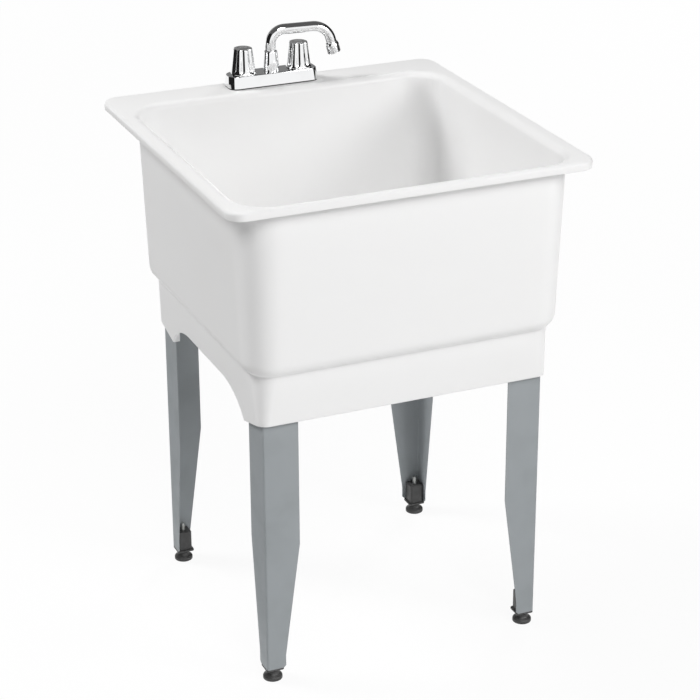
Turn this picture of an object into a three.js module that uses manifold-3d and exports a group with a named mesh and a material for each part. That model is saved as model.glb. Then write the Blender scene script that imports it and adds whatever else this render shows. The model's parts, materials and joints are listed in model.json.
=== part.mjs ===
// Utility laundry sink: a moulded tub on four angle-steel legs, with a two-handle faucet.
//
// Millimetres, +Z up. The origin is on the floor, under the middle of the rim.
// +X is to the user's right and +Y is to the back, where the faucet stands.

import * as THREE from "three";
import { mergeVertices } from "three/addons/utils/BufferGeometryUtils.js";
import Module from "manifold-3d";

const wasm = await Module();
wasm.setup();

// ---------------------------------------------------------------- driving sizes

// Rim: the tub's outline, seen from above
const RIM_WIDTH = 610;
const RIM_DEPTH = 624;
const RIM_HEIGHT = 836;
const RIM_CORNER = 28;
const RIM_EDGE = 5; // rounding of the rolled edge
const LIP_DROP = 14; // how far the rolled edge hangs down
const WALL = 4.5; // plastic wall
const CORNER_STEPS = 7; // facets in each rounded corner
const ARCH_STEPS = 7; // facets in each curved end of an arch
const FLUTE_STEPS = 5; // facets across each flute of a handle

// Bowl: how far its outer wall stands inside the rim, just under the rim
const SIDE_LEDGE = 26;
const FRONT_LEDGE = 14;
const BACK_DECK = 70;
const BOWL_CORNER = 60;
const BOWL_MOUTH_EDGE = 12; // rounding from the rim down into the bowl
const BOWL_DEPTH = 285; // rim to the edge of the floor
const BOWL_DRAFT = 9; // how far the wall leans in from rim to floor
const BOWL_FOOT = 21.5; // inside rounding between wall and floor
const FLOOR_FALL = 12; // the floor falls this much to the drain

// Skirt: carries the bowl, starts at a step under it, holds the legs
const SKIRT_STEP = 24; // inset of the skirt's top from the bowl wall's top
const SKIRT_LEAN = 6; // further inset at its lower edge
const SKIRT_TOP_CORNER = 34;
const SKIRT_FOOT_CORNER = 14;
const SKIRT_ROOT = 8; // bevel between the skirt's inside and the floor's underside
const SOCKET_FOOT_Z = 446; // lowest point of the four leg sockets, on the sides
const SKIRT_EDGE_Z = 463; // straight front and back edges, corners included
const ARCH_TOP_Z = 490; // arched side edges
const ARCH_SLOPE = 92; // length of each curved end of an arch
const ARCH_FOOT_PULL = 11; // how steeply that curve leaves the socket
const ARCH_CROWN_PULL = 51; // how long it runs level at the top
const SOCKET_DEPTH = 76;
const SOCKET_WALL = 6; // plastic outside the leg
const SOCKET_INNER_WALL = 4; // plastic inside the leg
const SOCKET_FIT = 0.3; // clearance round the leg

// Legs: steel angle with tapered flanges
const LEG_FLANGE = 60;
const LEG_STEEL = 1.6;
const LEG_BEND = 4; // outer radius of the fold
const LEG_TOE = 33; // flange width at the toe
const LEG_TOE_CUT = 4; // its clipped corner
const LEG_TAPER_TOP_Z = 245;
const LEG_TAPER_FOOT_Z = 45;

// Feet: plastic insert in the toe, threaded stud, round pad
const PAD_RADIUS = 16;
const PAD_HEIGHT = 10;
const PAD_RIM_HEIGHT = 6;
const PAD_HUB_RADIUS = 10;
const PAD_HUB_HEIGHT = 5;
const PAD_HUB_TAPER = 1;
const STUD_RADIUS = 4;
const STUD_LENGTH = 66;
const STUD_HEX = 6.5; // centre to corner of the hexagon
const STUD_HEX_HEIGHT = 4;
const INSERT_HEIGHT = 38;
const INSERT_SOLE = 3; // flange of the insert under the leg's end
const INSERT_SOLE_LIP = 30; // its width, just short of the toe flange
const FOOT_OFFSET = 14.5; // stud axis from the leg's outer faces

// Faucet, on four-inch centres
const FAUCET_X = -8; // a little left of the middle
const FAUCET_SETBACK = 31; // valve axes, in from the rim's back edge
const VALVE_SPACING = 101.6;
const COVER_WIDTH = 163;
const COVER_DEPTH = 46;
const COVER_HEIGHT = 20;
const COVER_CORNER = 15;
const COVER_EDGE = 3;
const COVER_WALL = 2.5;
const GASKET_THICKNESS = 2;
const GASKET_INSET = 1; // inside the cover's outline
const SHANK_RADIUS = 10.3;
const SHANK_BORE = 6.5;
const SHANK_LENGTH = 52;
const DECK_HOLE_RADIUS = 14.3;
const BARREL_RADIUS = 12;
const BARREL_RISE = 6; // barrel above the cover
const CARTRIDGE_RADIUS = 8.5;
const CARTRIDGE_LENGTH = 20;
const CARTRIDGE_FLANGE_RADIUS = 11.5;
const CARTRIDGE_FLANGE_HEIGHT = 2;
const BONNET_WALL = 3.2;
const BONNET_TOP = 2;
const STEM_RADIUS = 4.1;
const STEM_RISE = 18; // stem above the bonnet nut
const STEM_DEPTH = 17; // stem inside the cartridge
const BONNET_MOUTH_GAP = 2; // round the stem
const BONNET_CHAMFER = 1;
const WATERWAY_BAR = 13; // width and height of the bar that joins the valves
const HANDLE_FOOT_RADIUS = 22;
const HANDLE_TOP_RADIUS = 16.5;
const HANDLE_HEIGHT = 43;
const HANDLE_BAND = 3; // plain round band at its foot
const HANDLE_SHOULDER = 4; // from the band to where the flutes are full
const HANDLE_SHOULDER_INSET = 1;
const HANDLE_FLUTES = 8;
const HANDLE_FLUTE_DEPTH = 2.2;
const HANDLE_CROWN = 2; // rounding of the top edge
const HANDLE_CLEARANCE = 1.5; // above the cover
const HANDLE_WEB = 2; // web that the screw clamps
const HANDLE_HOLLOW_GAP = 1; // round the bonnet nut
const HANDLE_WELL_GAP = 1; // round the screw's head
const CAP_RADIUS = 9;
const CAP_HEIGHT = 3.5;
const CAP_SINK = 2.5; // how deep the cap sits in the handle
const CAP_CROWN_RADIUS = 5.4; // flat middle of its dome
const SCREW_RADIUS = 2;
const SCREW_LENGTH = 11;
const SCREW_HEAD_RADIUS = 4.2;
const SCREW_HEAD_HEIGHT = 2.6;
const SCREW_HEAD_ROUND = 1;
const SHANK_WASHER_RADIUS = 18;
const SHANK_WASHER_THICKNESS = 1.6;
const SHANK_NUT_RADIUS = 15;
const SHANK_NUT_HEIGHT = 9;
const WING_REACH = 4; // how far its wings stand out
const WING_THICKNESS = 5;
const WING_DROP = 4; // wings below the nut
const WING_START = 3; // wings from the nut's top

// Spout: a tube that rises, crosses and comes down
const SPOUT_RADIUS = 9;
const SPOUT_BORE = 7.4;
const SPOUT_RISE = 92; // deck to the axis of the level run
const SPOUT_LEVEL = 51; // straight run between the bends
const SPOUT_FIRST_BEND = 24;
const SPOUT_LAST_BEND = 34;
const SPOUT_LAST_SWEEP = 75; // degrees, so the end points down and a little out
const SPOUT_TAIL = 18; // straight end below the last bend
const SPOUT_SWING = -5; // degrees, from pointing right
const SPOUT_SIDES = 14;
const COLLAR_WALL = 1.8; // threaded collar that holds the tube
const COLLAR_RISE = 8; // collar above the cover
const SEAL_HEIGHT = 2;
const SPOUT_NUT_HEIGHT = 34;
const SPOUT_NUT_FOOT_RADIUS = 14;
const SPOUT_NUT_TOP_RADIUS = 11.2;
const SPOUT_NUT_BAND = 4; // straight foot below the taper
const SPOUT_NUT_CHAMFER = 1;
const HOSE_END_RADIUS = 11.5;
const HOSE_END_HEIGHT = 18;
const HOSE_END_SOCKET = 12; // how far the tube enters it
const HOSE_END_TAPER = 4; // cone back to the tube
const HOSE_END_LIP = 1; // wall left at the cone's end

// Drain
const DRAIN_FLANGE_RADIUS = 42;
const DRAIN_FLANGE_HEIGHT = 3.2;
const DRAIN_FLANGE_EDGE = 1; // upright part of its edge
const DRAIN_FLANGE_BEVEL = 2;
const DRAIN_RECESS = 4; // depth of the seat in the floor
const DRAIN_BODY_RADIUS = 24.3;
const DRAIN_BORE = 21;
const DRAIN_THROAT = 23; // mouth, where the stopper sits
const DRAIN_LENGTH = 52;
const DRAIN_BAR = 4; // crossbars
const DRAIN_BAR_DEPTH = 16; // below the seat
const DRAIN_GASKET = 3;
const DRAIN_WASHER = 1.5;
const DRAIN_WASHER_RADIUS = 34;
const DRAIN_NUT_RADIUS = 35;
const DRAIN_NUT_HEIGHT = 12;
const DRAIN_NUT_FLANGE = 3;
const DRAIN_NUT_FLANGE_REACH = 5; // flange outside the ring
const DRAIN_LUGS = 6;
const DRAIN_LUG_WIDTH = 6;
const DRAIN_LUG_INSET = 2; // lugs inside the flange's edge
const TAIL_RADIUS = 19.05;
const TAIL_WALL = 1.6;
const TAIL_LENGTH = 98;
const TAIL_FLANGE = 2;
const TAIL_FLANGE_GAP = 0.5; // flange inside the drain body's outline
const TAIL_WASHER = 2.5;
const TAIL_NUT_WALL = 5;
const TAIL_NUT_HEIGHT = 22;
const TAIL_NUT_FLOOR = 4;
const TAIL_NUT_CHAMFER = 2;
const STOPPER_LIP_RADIUS = 27;
const STOPPER_LIP_HEIGHT = 4;
const STOPPER_PLUG_DEPTH = 10;
const STOPPER_KNOB_RADIUS = 9;
const STOPPER_KNOB_HEIGHT = 15;
const STOPPER_KNOB_BEAD = 6; // rounded head of the knob
const STOPPER_KNOB_ROUND = 2;
const STOPPER_NECK_RADIUS = 5.4;
const STOPPER_NECK_SWEEP = 2; // from the lip to the neck
const STOPPER_LIP_TAPER = 1;

// Clearances
const SEAT = 0.2; // between pieces that rest on each other
const RUNNING = 0.3; // round what turns or slides
const THREAD_FIT = 0.25; // between mating threads

const CUT = 1; // how far a cutting tool reaches past the face it opens

const ROUND = 24; // sides of a round piece
const SMALL_ROUND = 16;
const PAD_SIDES = 20;

// ---------------------------------------------------------------- materials

const finish = (color, roughness, metalness) => ({ color, roughness, metalness });
const WHITE_PLASTIC = finish(0xf1f1f0, 0.38, 0);
const GREY_STEEL = finish(0x8b9295, 0.5, 0.35);
const BLACK_PLASTIC = finish(0x1c1c1e, 0.55, 0);
const ZINC = finish(0xa9abaa, 0.4, 0.9);
const CHROME = finish(0xd6d8da, 0.12, 1);
const BRASS = finish(0xb79a58, 0.35, 1);
const RUBBER = finish(0x232323, 0.8, 0);
const WHITE_FITTING = finish(0xdedfdd, 0.5, 0);

// ---------------------------------------------------------------- making shapes

// A body's signed volume: negative when its faces point in
function signedVolume(geometry) {
  const position = geometry.attributes.position;
  const index = geometry.index.array;
  const a = new THREE.Vector3();
  const b = new THREE.Vector3();
  const c = new THREE.Vector3();
  let volume = 0;
  for (let i = 0; i < index.length; i += 3) {
    a.fromBufferAttribute(position, index[i]);
    b.fromBufferAttribute(position, index[i + 1]);
    c.fromBufferAttribute(position, index[i + 2]);
    volume += a.dot(b.cross(c)) / 6;
  }
  return volume;
}

// Merges shared points and turns the faces outwards
function closed(geometry) {
  geometry.deleteAttribute("normal");
  geometry.deleteAttribute("uv");
  const merged = mergeVertices(geometry, 1e-4);
  if (signedVolume(merged) < 0) {
    const index = merged.index.array;
    for (let i = 0; i < index.length; i += 3) {
      [index[i], index[i + 1]] = [index[i + 1], index[i]];
    }
  }
  return merged;
}

function toSolid(geometry) {
  const shape = closed(geometry);
  return new wasm.Manifold(new wasm.Mesh({
    numProp: 3,
    vertProperties: new Float32Array(shape.attributes.position.array),
    triVerts: new Uint32Array(shape.index.array),
  }));
}

function toGeometry(solid) {
  const mesh = solid.getMesh();
  const geometry = new THREE.BufferGeometry();
  geometry.setAttribute("position", new THREE.BufferAttribute(new Float32Array(mesh.vertProperties), 3));
  geometry.setIndex(new THREE.BufferAttribute(new Uint32Array(mesh.triVerts), 1));
  return geometry;
}

// Joins the additions to a shape, then cuts the tools out of it
function worked(base, { add = [], cut = [] }) {
  let solid = toSolid(base);
  for (const piece of add) solid = solid.add(toSolid(piece));
  for (const tool of cut) solid = solid.subtract(toSolid(tool));
  return toGeometry(solid);
}

// Revolves a closed [radius, z] outline about Z
function turned(outline, sides = ROUND) {
  const points = [...outline, outline[0]].map(([r, z]) => new THREE.Vector2(r, z));
  return closed(new THREE.LatheGeometry(points, sides).rotateX(Math.PI / 2));
}

function disc(radius, low, high, sides = ROUND, topRadius = radius) {
  const shape = new THREE.CylinderGeometry(topRadius, radius, high - low, sides);
  return closed(shape.rotateX(Math.PI / 2).translate(0, 0, (low + high) / 2));
}

// A flat ring or tube
function ringTube(bore, radius, low, high, sides = ROUND) {
  return turned([[bore, low], [radius, low], [radius, high], [bore, high]], sides);
}

function box(x0, x1, y0, y1, z0, z1) {
  const shape = new THREE.BoxGeometry(x1 - x0, y1 - y0, z1 - z0);
  return closed(shape.translate((x0 + x1) / 2, (y0 + y1) / 2, (z0 + z1) / 2));
}

// Skins a stack of rings, each a list of points. The ends get caps,
// or the last ring is joined to the first.
function loft(rings, joined = false) {
  const count = rings[0].length;
  const positions = rings.flat().flatMap((point) => [point.x, point.y, point.z]);
  const index = [];
  const last = joined ? rings.length : rings.length - 1;
  for (let j = 0; j < last; j += 1) {
    const here = j * count;
    const next = ((j + 1) % rings.length) * count;
    for (let i = 0; i < count; i += 1) {
      const k = (i + 1) % count;
      index.push(here + i, here + k, next + k);
      index.push(here + i, next + k, next + i);
    }
  }
  if (!joined) {
    const flat = rings.map((ring) => ring.map((point) => new THREE.Vector2(point.x, point.y)));
    const end = (rings.length - 1) * count;
    for (const [a, b, c] of THREE.ShapeUtils.triangulateShape(flat[0], [])) index.push(c, b, a);
    for (const [a, b, c] of THREE.ShapeUtils.triangulateShape(flat[rings.length - 1], [])) {
      index.push(end + a, end + b, end + c);
    }
  }
  const geometry = new THREE.BufferGeometry();
  geometry.setAttribute("position", new THREE.Float32BufferAttribute(positions, 3));
  geometry.setIndex(index);
  return closed(geometry);
}

// A rounded rectangle at one height, anticlockwise from its right side
function roundedRing({ x0, x1, y0, y1, corner, z }, steps = CORNER_STEPS) {
  const centres = [
    [x1 - corner, y1 - corner],
    [x0 + corner, y1 - corner],
    [x0 + corner, y0 + corner],
    [x1 - corner, y0 + corner],
  ];
  const points = [];
  centres.forEach(([cx, cy], quarter) => {
    for (let i = 0; i <= steps; i += 1) {
      const angle = ((quarter + i / steps) * Math.PI) / 2;
      points.push(new THREE.Vector3(cx + corner * Math.cos(angle), cy + corner * Math.sin(angle), z));
    }
  });
  return points;
}

// Points of an arc in a [distance, height] profile, ends included
function arc(cx, cz, radius, from, to, steps) {
  return Array.from({ length: steps + 1 }, (unused, i) => {
    const angle = THREE.MathUtils.degToRad(from + ((to - from) * i) / steps);
    return [cx + radius * Math.cos(angle), cz + radius * Math.sin(angle)];
  });
}

const mirrored = (geometry, sx, sy) => closed(geometry.clone().scale(sx, sy, 1));
const moved = (geometry, x, y, z = 0) => geometry.clone().translate(x, y, z);

// ---------------------------------------------------------------- the assembly

const sink = new THREE.Group();

function addPiece(parent, name, geometry, look) {
  const mesh = new THREE.Mesh(geometry, new THREE.MeshStandardMaterial(look));
  mesh.name = name;
  parent.add(mesh);
  return mesh;
}

// ---------------------------------------------------------------- tub

const HALF_WIDTH = RIM_WIDTH / 2;
const HALF_DEPTH = RIM_DEPTH / 2;
const FLOOR_Z = RIM_HEIGHT - BOWL_DEPTH; // edge of the floor
const FLOOR_DRAIN_Z = FLOOR_Z - FLOOR_FALL;
const DRAIN_SEAT_Z = FLOOR_DRAIN_Z - DRAIN_RECESS;
const FLOOR_UNDERSIDE_Z = DRAIN_SEAT_Z - WALL; // where the drain's locknut clamps
const DRAIN_Y = (BACK_DECK - FRONT_LEDGE) / -2; // middle of the bowl
const FOOT_CENTRE_Z = FLOOR_Z + BOWL_FOOT; // centre of the bowl's foot rounding
const OUTER_FOOT = BOWL_FOOT + WALL;

// The outline of the bowl's wall, moved in from its place under the rim
function bowlRing(inset, corner, z) {
  return roundedRing({
    x0: SIDE_LEDGE + inset - HALF_WIDTH,
    x1: HALF_WIDTH - SIDE_LEDGE - inset,
    y0: FRONT_LEDGE + inset - HALF_DEPTH,
    y1: HALF_DEPTH - BACK_DECK - inset,
    corner,
    z,
  });
}

function rimRing(inset, z) {
  return roundedRing({
    x0: inset - HALF_WIDTH,
    x1: HALF_WIDTH - inset,
    y0: inset - HALF_DEPTH,
    y1: HALF_DEPTH - inset,
    corner: RIM_CORNER - inset,
    z,
  });
}

function drainRing(radius, z) {
  return roundedRing({
    x0: -radius, x1: radius, y0: DRAIN_Y - radius, y1: DRAIN_Y + radius, corner: radius, z,
  });
}

// The skirt leans in from the step down to the sockets' lower ends
const CREASE_Z = FOOT_CENTRE_Z - Math.sqrt(OUTER_FOOT ** 2 - (OUTER_FOOT + BOWL_DRAFT - SKIRT_STEP) ** 2);
const skirtShare = (z) => (CREASE_Z - z) / (CREASE_Z - SOCKET_FOOT_Z);
const skirtInset = (z) => SKIRT_STEP + SKIRT_LEAN * skirtShare(z);
const skirtCorner = (z) => THREE.MathUtils.lerp(SKIRT_TOP_CORNER, SKIRT_FOOT_CORNER, skirtShare(z));

// One moulding: the section runs from the drain hole out under the floor, down and up
// the skirt, up the bowl, round the rim, and back down inside to the drain hole.
function tubShell() {
  const hole = DRAIN_BODY_RADIUS + RUNNING;
  const recess = DRAIN_FLANGE_RADIUS + 2 * RUNNING;
  const footCorner = BOWL_CORNER - BOWL_DRAFT;
  const creaseAngle = THREE.MathUtils.radToDeg(Math.asin((FOOT_CENTRE_Z - CREASE_Z) / OUTER_FOOT));
  const root = WALL + SKIRT_ROOT;
  const rings = [
    drainRing(hole, FLOOR_UNDERSIDE_Z),
    drainRing(recess + WALL, FLOOR_UNDERSIDE_Z),
    drainRing(recess + 2 * WALL, FLOOR_DRAIN_Z - WALL),
    bowlRing(SKIRT_STEP + root, SKIRT_TOP_CORNER - root, FLOOR_Z - WALL),
    bowlRing(SKIRT_STEP + WALL, SKIRT_TOP_CORNER - WALL, FLOOR_Z - root),
    bowlRing(SKIRT_STEP + SKIRT_LEAN + WALL, SKIRT_FOOT_CORNER - WALL, SOCKET_FOOT_Z),
    bowlRing(SKIRT_STEP + SKIRT_LEAN, SKIRT_FOOT_CORNER, SOCKET_FOOT_Z),
  ];
  // From the crease, where the skirt starts, up the outside of the bowl's foot
  for (const [out, z] of arc(0, FOOT_CENTRE_Z, OUTER_FOOT, -creaseAngle, 0, 4)) {
    const inset = BOWL_DRAFT + OUTER_FOOT - out;
    const corner = THREE.MathUtils.mapLinear(inset, SKIRT_STEP, BOWL_DRAFT, SKIRT_TOP_CORNER, footCorner);
    rings.push(bowlRing(inset, corner, z));
  }
  rings.push(bowlRing(0, BOWL_CORNER, RIM_HEIGHT - WALL));
  rings.push(rimRing(WALL, RIM_HEIGHT - WALL));
  rings.push(rimRing(WALL, RIM_HEIGHT - LIP_DROP));
  rings.push(rimRing(0, RIM_HEIGHT - LIP_DROP));
  for (const [out, z] of arc(-RIM_EDGE, RIM_HEIGHT - RIM_EDGE, RIM_EDGE, 0, 90, 4)) {
    rings.push(rimRing(-out, z));
  }
  const mouth = arc(BOWL_MOUTH_EDGE, RIM_HEIGHT - BOWL_MOUTH_EDGE, BOWL_MOUTH_EDGE, 90, 180, 4);
  for (const [back, z] of mouth) {
    rings.push(bowlRing(WALL - back, BOWL_CORNER - WALL + back, z));
  }
  for (const [out, z] of arc(0, FOOT_CENTRE_Z, BOWL_FOOT, 0, -90, 5)) {
    const inset = BOWL_DRAFT + OUTER_FOOT - out;
    rings.push(bowlRing(inset, footCorner - OUTER_FOOT + out, z));
  }
  rings.push(drainRing(recess, FLOOR_DRAIN_Z));
  rings.push(drainRing(recess, DRAIN_SEAT_Z));
  rings.push(drainRing(hole, DRAIN_SEAT_Z));
  return loft(rings, true);
}

const SHARPEST_BEND = 0.4;

// Section of a folded angle: its corner at the origin, its flanges along +X and +Y
function angleSection(width, steel, bend, z, reach = 0) {
  const fold = arc(bend, bend, bend, 270, 180, 4);
  const inner = Math.max(bend - steel, SHARPEST_BEND);
  const innerFold = arc(steel + inner, steel + inner, inner, 180, 270, 3);
  const outline = [
    [width, 0], [width, steel], ...innerFold.reverse(), [steel, width], [0, width], ...fold.reverse(),
  ];
  return outline.map(([x, y]) => new THREE.Vector3(x - reach, y - reach, z));
}

// Outer faces of the legs: inside the skirt's lower edge by the socket's wall
const LEG_INSET = SKIRT_STEP + SKIRT_LEAN + SOCKET_WALL + SOCKET_FIT;
const LEG_X = HALF_WIDTH - SIDE_LEDGE - LEG_INSET;
const LEG_FRONT_Y = FRONT_LEDGE + LEG_INSET - HALF_DEPTH;
const LEG_BACK_Y = HALF_DEPTH - BACK_DECK - LEG_INSET;
const SOCKET_ROOF_Z = SOCKET_FOOT_Z + SOCKET_DEPTH;
// Along and across a flange, from the leg's outer face to the socket's inner face
const SOCKET_SPAN = LEG_FLANGE + 2 * SOCKET_FIT + SOCKET_INNER_WALL;
const SOCKET_THICKNESS = LEG_STEEL + SOCKET_FIT + SOCKET_INNER_WALL;

const CORNERS = [
  { name: "front_left", sx: 1, sy: 1, x: -LEG_X, y: LEG_FRONT_Y },
  { name: "front_right", sx: -1, sy: 1, x: LEG_X, y: LEG_FRONT_Y },
  { name: "back_left", sx: 1, sy: -1, x: -LEG_X, y: LEG_BACK_Y },
  { name: "back_right", sx: -1, sy: -1, x: LEG_X, y: LEG_BACK_Y },
];

// Plastic round a leg's head: an L-shaped block whose outer faces follow the skirt's lean
function socketBlock() {
  const section = (z) => {
    const reach = LEG_INSET - skirtInset(z) - WALL / 2;
    const bend = skirtCorner(z) - WALL / 2;
    return angleSection(SOCKET_SPAN + reach, SOCKET_THICKNESS + reach, bend, z, reach);
  };
  return loft([section(SOCKET_FOOT_Z), section(SOCKET_ROOF_Z + SOCKET_INNER_WALL)]);
}

function socketSlot() {
  const section = (z) => angleSection(
    LEG_FLANGE + 2 * SOCKET_FIT, LEG_STEEL + 2 * SOCKET_FIT, LEG_BEND + SOCKET_FIT, z, SOCKET_FIT,
  );
  return loft([section(SOCKET_FOOT_Z - CUT), section(SOCKET_ROOF_Z)]);
}

// What is cut from under a side of the skirt, as an outline in [y, z]: level at the
// corners, sloping down under each socket, and arched in between
function sideEdgeOutline() {
  const low = SOCKET_FOOT_Z - CUT;
  const steep = (SOCKET_FOOT_Z + ARCH_TOP_Z) / 2;
  const front = LEG_FRONT_Y;
  const back = LEG_BACK_Y;
  const archFront = front + SOCKET_SPAN;
  const archBack = back - SOCKET_SPAN;
  const shape = new THREE.Shape();
  shape.moveTo(front - LEG_INSET, low);
  shape.lineTo(front - LEG_INSET, SKIRT_EDGE_Z);
  shape.lineTo(front, SKIRT_EDGE_Z);
  shape.lineTo(archFront, SOCKET_FOOT_Z);
  shape.bezierCurveTo(
    archFront + ARCH_FOOT_PULL, steep,
    archFront + ARCH_SLOPE - ARCH_CROWN_PULL, ARCH_TOP_Z,
    archFront + ARCH_SLOPE, ARCH_TOP_Z,
  );
  shape.lineTo(archBack - ARCH_SLOPE, ARCH_TOP_Z);
  shape.bezierCurveTo(
    archBack - ARCH_SLOPE + ARCH_CROWN_PULL, ARCH_TOP_Z,
    archBack - ARCH_FOOT_PULL, steep,
    archBack, SOCKET_FOOT_Z,
  );
  shape.lineTo(back, SKIRT_EDGE_Z);
  shape.lineTo(back + LEG_INSET, SKIRT_EDGE_Z);
  shape.lineTo(back + LEG_INSET, low);
  return shape;
}

// Each cutter is as deep as the skirt's wall and the socket behind it
function edgeCutters() {
  const depth = LEG_INSET + SOCKET_THICKNESS + CUT;
  const low = SOCKET_FOOT_Z - CUT;
  const sideX = HALF_WIDTH - SIDE_LEDGE;
  const frontY = FRONT_LEDGE - HALF_DEPTH;
  const backY = HALF_DEPTH - BACK_DECK;
  // An extrusion runs along Z, so the outline is turned upright
  const side = new THREE.ExtrudeGeometry(sideEdgeOutline(), {
    depth, bevelEnabled: false, curveSegments: ARCH_STEPS,
  }).rotateX(Math.PI / 2).rotateZ(Math.PI / 2);
  return [
    box(-sideX, sideX, frontY, frontY + depth, low, SKIRT_EDGE_Z),
    box(-sideX, sideX, backY - depth, backY, low, SKIRT_EDGE_Z),
    closed(moved(side, sideX - depth, 0)),
    closed(moved(side, -sideX, 0)),
  ];
}

const FAUCET_Y = HALF_DEPTH - FAUCET_SETBACK;
const VALVE_XS = { left: FAUCET_X - VALVE_SPACING / 2, right: FAUCET_X + VALVE_SPACING / 2 };

function makeTub() {
  const blocks = CORNERS.map(({ sx, sy, x, y }) => moved(mirrored(socketBlock(), sx, sy), x, y));
  const slots = CORNERS.map(({ sx, sy, x, y }) => moved(mirrored(socketSlot(), sx, sy), x, y));
  const deckHole = disc(DECK_HOLE_RADIUS, RIM_HEIGHT - WALL - CUT, RIM_HEIGHT + CUT, SMALL_ROUND);
  const deckHoles = Object.values(VALVE_XS).map((x) => moved(deckHole, x, FAUCET_Y));
  return worked(tubShell(), { add: blocks, cut: [...edgeCutters(), ...slots, ...deckHoles] });
}

addPiece(sink, "tub", makeTub(), WHITE_PLASTIC);

// ---------------------------------------------------------------- legs and feet

const STUD_FOOT_Z = PAD_HEIGHT / 2;
const HUB_TOP_Z = PAD_HEIGHT + PAD_HUB_HEIGHT;
const INSERT_FOOT_Z = HUB_TOP_Z + STUD_HEX_HEIGHT + RUNNING; // the foot's upper stop
const LEG_FOOT_Z = INSERT_FOOT_Z + INSERT_SOLE + SEAT;
const LEG_HEAD_Z = SOCKET_ROOF_Z - SOCKET_FIT;

function legAngle() {
  const stations = [
    [LEG_FOOT_Z, LEG_TOE - LEG_TOE_CUT],
    [LEG_FOOT_Z + LEG_TOE_CUT, LEG_TOE],
    [LEG_TAPER_FOOT_Z, LEG_TOE],
    [LEG_TAPER_TOP_Z, LEG_FLANGE],
    [LEG_HEAD_Z, LEG_FLANGE],
  ];
  return loft(stations.map(([z, width]) => angleSection(width, LEG_STEEL, LEG_BEND, z)));
}

// Block that fills the leg's toe. Its sole carries the leg's end, and the stud screws
// up through it.
function toeInsert() {
  const near = LEG_STEEL + SEAT;
  const far = 2 * FOOT_OFFSET - near;
  const soleTop = INSERT_FOOT_Z + INSERT_SOLE;
  const top = INSERT_FOOT_Z + INSERT_HEIGHT;
  const prism = (from, to, low, high) => loft([low, high].map((z) => (
    roundedRing({ x0: from, x1: to, y0: from, y1: to, corner: LEG_BEND, z }, 3)
  )));
  const block = prism(near, far, soleTop - CUT, top);
  const sole = prism(0, INSERT_SOLE_LIP, INSERT_FOOT_Z, soleTop);
  const bore = disc(STUD_RADIUS + THREAD_FIT, INSERT_FOOT_Z - CUT, top + CUT, SMALL_ROUND);
  return worked(block, { add: [sole], cut: [moved(bore, FOOT_OFFSET, FOOT_OFFSET)] });
}

// Threaded stud, with a hexagon under the insert for a spanner. It starts inside the
// pad's hub.
function footStud() {
  const shank = disc(STUD_RADIUS, STUD_FOOT_Z, STUD_FOOT_Z + STUD_LENGTH, SMALL_ROUND);
  const hexagon = disc(STUD_HEX, HUB_TOP_Z + SEAT, HUB_TOP_Z + STUD_HEX_HEIGHT, 6);
  return worked(shank, { add: [hexagon] });
}

// Round pad: a low dome with a hub round the stud's end
function footPad() {
  const socket = STUD_RADIUS + THREAD_FIT;
  return turned([
    [0, 0], [PAD_RADIUS, 0], [PAD_RADIUS, PAD_RIM_HEIGHT], [PAD_HUB_RADIUS, PAD_HEIGHT],
    [PAD_HUB_RADIUS - PAD_HUB_TAPER, HUB_TOP_Z], [socket, HUB_TOP_Z], [socket, STUD_FOOT_Z - SEAT],
    [0, STUD_FOOT_Z - SEAT],
  ], PAD_SIDES);
}

for (const { name, sx, sy, x, y } of CORNERS) {
  const corner = new THREE.Group();
  corner.position.set(x, y, 0);
  sink.add(corner);
  addPiece(corner, `leg_${name}`, mirrored(legAngle(), sx, sy), GREY_STEEL);
  addPiece(corner, `toe_insert_${name}`, mirrored(toeInsert(), sx, sy), BLACK_PLASTIC);
  const foot = new THREE.Group();
  foot.position.set(sx * FOOT_OFFSET, sy * FOOT_OFFSET, 0);
  corner.add(foot);
  addPiece(foot, `foot_stud_${name}`, footStud(), ZINC);
  addPiece(foot, `foot_pad_${name}`, footPad(), BLACK_PLASTIC);
}

// ---------------------------------------------------------------- faucet body

const faucet = new THREE.Group();
faucet.position.set(FAUCET_X, FAUCET_Y, RIM_HEIGHT);
sink.add(faucet);

// Heights above the deck
const COVER_FOOT = GASKET_THICKNESS + SEAT;
const COVER_TOP = COVER_FOOT + COVER_HEIGHT;
const CEILING = COVER_TOP - COVER_WALL;
const BARREL_TOP = COVER_TOP + BARREL_RISE;
const BAR_TOP = CEILING - RUNNING;
const BAR_FOOT = BAR_TOP - WATERWAY_BAR;
const COLLAR_TOP = COVER_TOP + COLLAR_RISE;
const COLLAR_BORE = SPOUT_RADIUS + RUNNING;
const COLLAR_RADIUS = COLLAR_BORE + COLLAR_WALL;
const valveOffsets = { left: -VALVE_SPACING / 2, right: VALVE_SPACING / 2 };

function coverRing(inset, z, steps = 5) {
  return roundedRing({
    x0: inset - COVER_WIDTH / 2,
    x1: COVER_WIDTH / 2 - inset,
    y0: inset - COVER_DEPTH / 2,
    y1: COVER_DEPTH / 2 - inset,
    corner: COVER_CORNER - inset,
    z,
  }, steps);
}

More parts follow.
